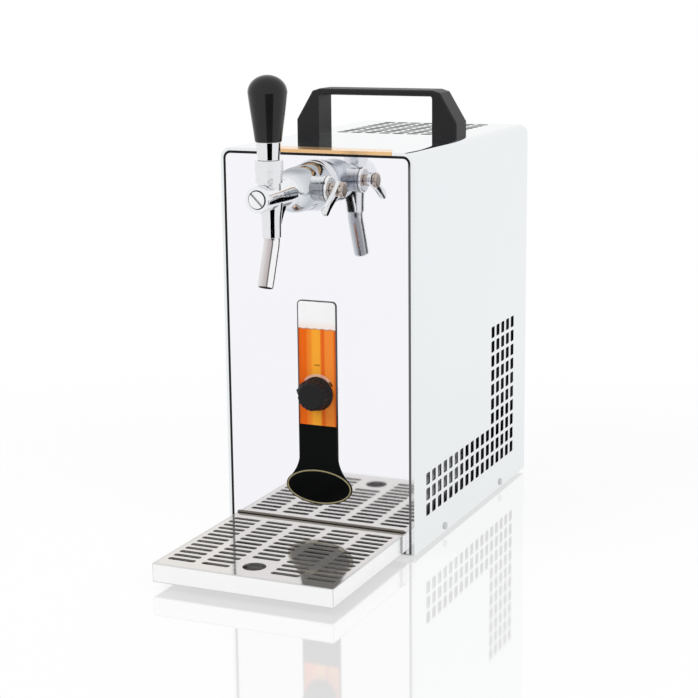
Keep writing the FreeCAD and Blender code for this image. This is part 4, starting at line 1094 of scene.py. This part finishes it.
class COOLER_OT_tap(Operator):
    """Tap: flange, ring nut, cast body with its branches, spout and front plug"""

    bl_idname = "cooler.tap"
    bl_label = "Tap"

    def execute(self, context):
        colours = context.scene.cooler_colours
        chrome = chrome_finish(colours)
        self.collars(chrome, body_finish(colours))
        self.web(web_finish(colours))
        self.spout(spout_finish())
        self.plug(plug_finish(colours), chrome)
        dress(["tap_shank", "lever_core", "beer_pipe", "beer_inlet"],
              chrome_finish(colours, "stainless tube", 0.8, 0.18))
        dress(["shank_nut"], plain_finish("brass", (0.6, 0.42, 0.16), 0.25, 1.0))
        dress(["piston", "comp_cone"], plain_finish("white acetal", (0.75, 0.75, 0.73), 0.35))
        dress(["piston_seal"], bpy.data.materials["black rubber"])
        return {"FINISHED"}

    def collars(self, chrome, cast):
        """Turned pieces of the body. Profiles are (along, radius) in millimetres, counted outwards
        from the front panel, or upwards from the tap's axis and from the sleeve's foot."""
        bore = 11.2
        joint = 23.3
        origin = (0, FRONT, TAP_Z)
        out = (0, -1, 0)
        up = (0, 0, 1)
        flange = turned("panel_flange", [(0.0, bore), (0, 21.5), (5.9, 19.4), (5.9, bore)], [1.2, 1.6],
                        origin, out, chrome, turns=96)
        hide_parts("tap_flange")
        # the nut and barrel take the body's plating, with its painted shade and painted light
        nut = turned("ring_nut_dressed",
                     [(5.92, bore), (5.92, 19.9), (9.8, 19.9), (joint, 18.2), (joint, bore)],
                     [1.2, 2.0, 1.2], origin, out, cast, turns=96)
        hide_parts("ring_nut")
        barrel = turned("tap_barrel", [
            (joint, 11.5), (joint, 18.0), (36.7, 18.1), (44.2, 16.8), (49.1, 12.9), (54.3, 10.7),
            (59.7, 10.4), (103.5, 10.3), (103.5, 7.35), (98, 7.35)],
            [0.6, 6, 6, 6, 4, 3, 1.2, 0.3], origin, out, cast, turns=96)
        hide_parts("tap_body")
        turned("tap_neck", [(0, 0.01), (0, 9.0), (11.15, 9.0), (11.15, 6.4)], [0, 0.4],
               (0, PIVOT.y, TAP_Z), up, chrome)
        dress(["neck_collar"], chrome)
        turned("spout_sleeve", [(0, 6.4), (0, 7.4), (13.7, 7.6), (25.4, 9.2), (31.7, 9.8)], [0.5, 4, 4],
               (0, SLEEVE_Y, SLEEVE_Z), up, chrome)

    def web(self, plated):
        """Web between sleeve and barrel, with a round nose down its rear edge: each level is
        x = half * sin w, y = edge - nose * (1 - cos w), joined to the sleeve's middle plane."""
        half = 4.4 * MM
        nose = 4.2 * MM
        t = np.linspace(0, 0.77, 15)[:, None]
        w = np.linspace(-np.pi / 2, np.pi / 2, 15)
        y = WEB_Y + WEB_REACH * t ** 1.5 - nose * (1 - np.cos(w))
        outer = coords(half * np.sin(w), y, WEB_Z + WEB_RISE * t ** 0.92)
        inner = outer.copy()
        inner[:, :, 1] = SLEEVE_Y
        rows, cols = y.shape
        faces = weave(rows, cols)
        side = np.arange(rows) * cols
        for line in (side, side[::-1] + cols - 1, np.arange(cols)[::-1]):
            faces += [(a, b, b + y.size, a + y.size) for a, b in zip(line, line[1:])]
        add_piece("spout_web", [outer, inner], faces, plated, "casing", 40)

    def spout(self, steel):
        """Spout tube: down, a bend, straight on at its lean, then turned back inside as its bore.
        point = path + radius * (cos a * n + sin a * x), with n square to the path and to x."""
        bend = 19.5 * MM
        bore = 5.35 * MM
        bore_steps = 8
        turns = 56
        knee = SLEEVE_Z - 1 * MM
        mouth = TAP_Z - 69.2 * MM
        b = np.linspace(0, SPOUT_LEAN, 12)[1:]
        ahead = np.array([0, -math.sin(SPOUT_LEAN), -math.cos(SPOUT_LEAN)])
        down = [(0, SLEEVE_Y, knee + 8 * MM), (0, SLEEVE_Y, knee + 0.5 * MM)]
        arc = coords(0, SLEEVE_Y - bend + bend * np.cos(b), knee - bend * np.sin(b))
        run = (arc[-1, 2] - mouth) / math.cos(SPOUT_LEAN)
        straight = arc[-1] + np.linspace(0, 1, 5)[1:, None] * run * ahead
        path = np.concatenate([down, arc, straight])
        count = len(path)
        tangent = np.gradient(path, axis=0)
        tangent /= np.linalg.norm(tangent, axis=1)[:, None]
        normal = np.cross(tangent, [1.0, 0, 0])
        order = np.concatenate([np.arange(count), count - 1 - np.arange(bore_steps + 1)])
        path = path[order]
        path[count] -= 0.02 * MM * ahead
        radius = np.full(len(order), SPOUT_R)
        radius[count - 1] = SPOUT_R - 0.2 * MM
        radius[count] = bore + 0.15 * MM
        radius[count + 1:] = bore
        a = np.linspace(0, 2 * np.pi, turns, endpoint=False)[:, None]
        ring = np.cos(a) * normal[order][:, None] + np.sin(a) * np.array([1.0, 0, 0])
        verts = path[:, None] + radius[:, None, None] * ring
        spout = add_piece("spout_tube", verts, weave(len(path), turns, False, True), steel,
                          "casing", 40)
        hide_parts("spout")

    def plug(self, plated, chrome):
        """Front plug: a square grid bent to rings, point = r * (cos a, sin a), whose face drops by
        1 mm beside a slanted line, for the driver slot, and by 0.5 mm at its rim."""
        radius = 7.2 * MM
        steps = 61
        u, v = np.meshgrid(np.linspace(-1, 1, steps), np.linspace(-1, 1, steps), indexing="ij")
        r = np.maximum(np.abs(u), np.abs(v))
        a = np.arctan2(v, u)
        x = r * np.cos(a) * radius
        z = r * np.sin(a) * radius
        slot = np.abs(x + z) / math.sqrt(2) < 0.75 * MM
        rim = np.clip((r - 0.93) / 0.07, 0, 1) ** 2
        y = FRONT - 104.3 * MM + 1.0 * MM * slot + 0.5 * MM * rim
        plug = add_piece("front_plug", coords(x, y, TAP_Z + z), weave(steps, steps), plated,
                         "casing", 30, closed=False)
        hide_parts("tap_plug")
        turned("front_plug_side", [(0, 7.18), (3, 7.18)], [],
               (0, FRONT - 103.8 * MM, TAP_Z), (0, 1, 0), chrome)


class COOLER_OT_lever(Operator):
    """Tap lever: plated cap, ferrule and the glossy black grip"""

    bl_idname = "cooler.lever"
    bl_label = "Tap lever"

    def execute(self, context):
        colours = context.scene.cooler_colours
        chrome = bpy.data.materials["tap chrome"]
        origin = (0, PIVOT.y, PIVOT.z)
        up = (0, 0, 1)
        rod = 3.1
        seat = 15.1
        grip_z = 29.1
        cap = turned("lever_cap_dressed", [(7.0, 10.7), (7.0, 11.0), (seat, 11.0), (seat, 8.6)],
                     [0.3, 0.9], origin, up, chrome, "lever")
        a = np.linspace(math.radians(54), math.radians(15), 14)
        hollow = 13.0 * MM * np.c_[np.cos(a), np.sin(a)]
        verts, faces = lathe(hollow, origin, up)
        add_piece("lever_cap_hollow", verts, faces, chrome, "lever", closed=False)
        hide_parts("lever_cap")
        ferrule = turned("lever_ferrule_dressed",
                         [(seat, rod), (seat, 8.5), (grip_z, 9.7), (grip_z, rod)],
                         [0.4, 0.4], origin, up, chrome, "lever")
        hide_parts("lever_ferrule")
        # grip: a tapering pear whose radius grows by a cubic in its height h, closed by a near half sphere
        pear = 37.3
        foot_r = 10.3
        wide_r = 15.2
        h = np.linspace(0, 1, 26)[1:]
        rise = foot_r + (wide_r - foot_r) * (0.9 * h + 0.35 * h * h - 0.25 * h ** 3)
        b = np.linspace(0, np.pi / 2, 22)[1:]
        dome = np.c_[grip_z + pear + 13.3 * np.sin(b), wide_r * np.cos(b) + 0.001]
        foot = [(grip_z, rod), (grip_z, 9.7), (grip_z + 0.25, foot_r - 0.1)]
        profile = np.concatenate([foot, np.c_[grip_z + pear * h, rise], dome]) * MM
        verts, faces = lathe(profile, origin, up, 96)
        grip = add_piece("lever_grip", verts, faces, grip_finish(colours), "lever", 50)
        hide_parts("lever_handle")
        return {"FINISHED"}


class COOLER_OT_flow(Operator):
    """Flow lever on the tap's right side: boss, nut, stem and the small flat arm"""

    bl_idname = "cooler.flow"
    bl_label = "Flow lever"

    def execute(self, context):
        chrome = bpy.data.materials["tap chrome"]
        origin = (0, FLOW_PIVOT.y, FLOW_PIVOT.z)
        right = (1, 0, 0)
        # the housing's satin plating, with painted highlight and painted shade in its colour
        satin = housing_finish()
        warm = plain_finish("warm stem steel", (0.5, 0.43, 0.38), 0.1, 1.0, 60.0, 0.1, 0.05)
        turned("flow_boss", [(8, 9.9), (23.5, 9.9), (23.5, 4.2)], [0.6], origin, right, satin)
        nut = turned("flow_nut", [(23.5, 4.1), (23.5, 10.5), (29.7, 10.5), (29.7, 4.1)],
                     [0.8, 1.3], origin, right, satin)
        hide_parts("comp_nut")
        stem = turned("flow_stem", [
            (24, 4.0), (30.0, 4.0), (30.0, 4.9), (33.5, 4.9), (33.6, 4.0), (38.0, 4.0), (38.0, 6.2),
            (41.5, 6.2), (41.5, 0.01)],
            [0, 0.4, 0.4, 0.3, 0.3, 0.8, 1.6], origin, right, warm, "comp_lever")
        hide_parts("comp_stem")
        self.arm(origin, chrome)
        return {"FINISHED"}

    def arm(self, origin, chrome):
        """The arm: a flat bar with a round tip and a round boss, drooping from the stem. Its outline
        lies at each level x, moved inwards along its normals by that level's inset for soft edges."""
        reach = 27.2
        tip_r = 4.2
        boss_r = 6.4
        drop = math.radians(31)
        levels = [(33.6, 0.7), (33.8, 0.2), (34.3, 0.0), (36.7, 0.0), (37.2, 0.2), (37.4, 0.7)]
        a = np.linspace(np.pi / 2, -np.pi / 2, 15)
        b = np.linspace(-np.pi / 2 - 0.6, -np.pi * 1.5 + 0.6, 21)
        loop = np.concatenate([
            np.c_[reach + tip_r * np.cos(a), tip_r * np.sin(a)], [(22.5, -3.5), (7.5, -3.3)],
            boss_r * np.c_[np.cos(b), np.sin(b)], [(7.5, 3.3), (22.5, 3.5)]])
        normal = (np.roll(loop, -1, 0) - np.roll(loop, 1, 0))[:, ::-1] * np.array([-1, 1])
        normal /= np.linalg.norm(normal, axis=1)[:, None]
        normal *= np.sign(((loop - loop.mean(0)) * normal).sum(1).mean())
        level, inset = np.array(levels).T
        u, v = np.moveaxis(loop - inset[:, None, None] * normal, -1, 0)
        y = v * math.sin(drop) - u * math.cos(drop)
        z = -u * math.sin(drop) - v * math.cos(drop)
        verts = coords(level[:, None], y, z) * MM + np.array(origin)
        count = len(loop)
        ends = [tuple(range(count)), tuple(range((len(levels) - 1) * count, len(levels) * count))]
        faces = weave(len(levels), count, False, True) + ends
        arm = add_piece("flow_arm", verts, faces, chrome, "comp_lever", 35)
        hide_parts("comp_arm")


# Works

class COOLER_OT_works(Operator):
    """Finishes of the cooling works behind the vents"""

    bl_idname = "cooler.works"
    bl_label = "Cooling works"

    def execute(self, context):
        colours = context.scene.cooler_colours
        dress(["compressor"], plain_finish("compressor enamel", (0.012, 0.012, 0.013), 0.35))
        dress(["fan_shroud", "fan_rotor", "cord_gland"], black_finish(colours, "works black", 0.5, 0.3))
        dress(["fan_motor", "thermostat_body"], plain_finish("motor paint", (0.12, 0.12, 0.125), 0.4))
        dress(["condenser", "cooling_block"], plain_finish("aluminium", (0.6, 0.6, 0.61), 0.4, 1.0))
        dress(["foam_case"], plain_finish("closed foam", (0.03, 0.03, 0.032), 0.8, 0.0, 300.0, 0.3, 0.5))
        dress(["drier", "discharge_pipe", "liquid_pipe", "suction_pipe"],
              plain_finish("copper tube", (0.75, 0.32, 0.18), 0.28, 1.0, 50.0, 0.25))
        dress(["grommet_" + corner for corner in CORNERS], bpy.data.materials["black rubber"])
        return {"FINISHED"}


# Stage

class COOLER_OT_stage(Operator):
    """Camera, plain pale floor, soft lights and the white surroundings"""

    bl_idname = "cooler.stage"
    bl_label = "Stage"

    def execute(self, context):
        scene = context.scene
        self.camera(scene, scene.cooler_camera)
        self.floor(scene.cooler_colours)
        self.world(scene)
        self.card()
        self.lamp("key", (-1.3, -1.7, 2.4), 1.8, 38.0)
        self.lamp("fill", (2.2, -0.6, 1.5), 1.6, 18.0)
        self.lamp("back", (-0.6, 2.0, 2.0), 1.8, 16.0)
        scene.view_settings.view_transform = "Standard"
        return {"FINISHED"}

    def camera(self, scene, view):
        """The camera at its place: turned by its azimuth, tilted down by its elevation, then rolled."""
        az = view.azimuth
        el = view.elevation
        look = Vector((-math.sin(az) * math.cos(el), math.cos(az) * math.cos(el), -math.sin(el)))
        side = Vector((math.cos(az), math.sin(az), 0))
        up = side.cross(look)
        c = math.cos(view.roll)
        s = math.sin(view.roll)
        side, up = c * side + s * up, c * up - s * side
        data = bpy.data.cameras.new("camera")
        data.lens = view.lens
        data.sensor_width = 36
        data.clip_start = 0.05
        data.clip_end = 200
        camera = bpy.data.objects.new("camera", data)
        turn = Matrix((side, up, -look)).transposed().to_4x4()
        camera.matrix_world = Matrix.Translation(view.place) @ turn
        scene.collection.objects.link(camera)
        scene.camera = camera

    def seen(self, tree):
        """1 for the rays of the camera, of gloss and of glass, 0 for all other light."""
        path = tree.nodes.new("ShaderNodeLightPath")
        kinds = ("Camera", "Glossy", "Transmission")
        camera, gloss, glass = [Wire(tree, path.outputs["Is " + kind + " Ray"]) for kind in kinds]
        return camera.most(gloss).most(glass)

    def floor(self, colours):
        """A square of floor whose colour to the camera, to gloss and to glass is white, with a
        faint reflection and the object's soft shadow, and pale grey to all other light."""
        reach = 40
        f = Finish("pale floor")
        seen = self.seen(f.tree)
        x, y, _ = f.axes()
        near = 1 - ((x * x + y * y) ** 0.5).ramp(0.35, 0.9)
        f.set(Base_Color=tuple(colours.floor), Roughness=0.9, Specular_IOR_Level=0.0)
        lit = f.out(f.shader)
        white = f.out(f.node("ShaderNodeEmission", {}, {"Color": (1, 1, 1), "Strength": 1.0}))
        gloss = f.out(f.node("ShaderNodeBsdfGlossy", {}, {"Color": (1, 1, 1), "Roughness": 0.05}))
        shown = f.blend(near * 0.1, f.blend(near * 0.3, white, gloss), lit)
        feed(f.tree, f.output.inputs["Surface"], f.blend(seen, lit, shown))
        verts = np.array([(-1, -1, 0), (1, -1, 0), (1, 1, 0), (-1, 1, 0)]) * reach
        floor = add_mesh("floor", verts, [(0, 1, 2, 3)], f.material)

    def card(self):
        """A dark sheet just over the floor that only gloss sees: the sector r * (sin a, -cos a)
        round the tap's lever."""
        turns = np.radians(np.linspace(13, 62, 12))
        reach = np.array([0.55, 2.6])
        r, a = np.meshgrid(reach, turns, indexing="ij")
        verts = coords(r * np.sin(a), PIVOT.y - r * np.cos(a), 1 * MM)
        dark = Finish("dark card").set(Base_Color=(0.0, 0.0, 0.0), Roughness=1.0, Specular_IOR_Level=0.0)
        card = add_mesh("floor_card", verts, weave(len(reach), len(turns)), dark.material)
        card.visible_camera = False
        card.visible_diffuse = False
        card.visible_transmission = False
        card.visible_shadow = False

    def world(self, scene):
        """White to the camera, to gloss and to glass; an even grey light otherwise."""
        world = bpy.data.worlds.new("surroundings")
        scene.world = world
        world.use_nodes = True
        tree = world.node_tree
        tree.nodes.clear()
        ground = tree.nodes.new("ShaderNodeBackground")
        feed(tree, ground.inputs["Color"], (1.0, 1.0, 1.0))
        feed(tree, ground.inputs["Strength"], 0.55 + 0.45 * self.seen(tree))
        out = tree.nodes.new("ShaderNodeOutputWorld")
        tree.links.new(ground.outputs[0], out.inputs[0])

    def lamp(self, name, place, size, power):
        """A square lamp, in metres and watts, turned to the cabinet's middle and unseen by gloss."""
        data = bpy.data.lights.new(name, "AREA")
        data.shape = "SQUARE"
        data.size = size
        data.energy = power
        lamp = bpy.data.objects.new(name, data)
        lamp.location = place
        toward = Vector((0, 0, 0.15)) - Vector(place)
        lamp.rotation_euler = toward.to_track_quat("-Z", "Y").to_euler()
        lamp.visible_glossy = False
        bpy.context.scene.collection.objects.link(lamp)


# Add-on

class COOLER_PT_panel(Panel):
    """Lists the builders of the cooler"""

    bl_idname = "COOLER_PT_panel"
    bl_label = "Counter beer cooler"
    bl_space_type = "VIEW_3D"
    bl_region_type = "UI"
    bl_category = "Cooler"

    def draw(self, context):
        layout = self.layout
        for builder in BUILDERS:
            layout.operator(builder.bl_idname)
        scene = context.scene
        for group in (scene.cooler_sizes, scene.cooler_colours, scene.cooler_camera):
            box = layout.box()
            for key in group.__annotations__:
                box.prop(group, key)


BUILDERS = (COOLER_OT_cabinet, COOLER_OT_handle, COOLER_OT_plate, COOLER_OT_dial, COOLER_OT_tray,
            COOLER_OT_tap, COOLER_OT_lever, COOLER_OT_flow, COOLER_OT_works, COOLER_OT_stage)
GROUPS = (CoolerSizes, CoolerColours, CoolerCamera)


def register():
    for item in (*GROUPS, *BUILDERS, COOLER_PT_panel):
        bpy.utils.register_class(item)
    bpy.types.Scene.cooler_sizes = PointerProperty(type=CoolerSizes)
    bpy.types.Scene.cooler_colours = PointerProperty(type=CoolerColours)
    bpy.types.Scene.cooler_camera = PointerProperty(type=CoolerCamera)


def unregister():
    del bpy.types.Scene.cooler_sizes
    del bpy.types.Scene.cooler_colours
    del bpy.types.Scene.cooler_camera
    for item in reversed((*GROUPS, *BUILDERS, COOLER_PT_panel)):
        bpy.utils.unregister_class(item)


def main():
    """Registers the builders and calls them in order."""
    register()
    for builder in BUILDERS:
        group, name = builder.bl_idname.split(".")
        getattr(getattr(bpy.ops, group), name)()


if __name__ == "__main__":
    main()
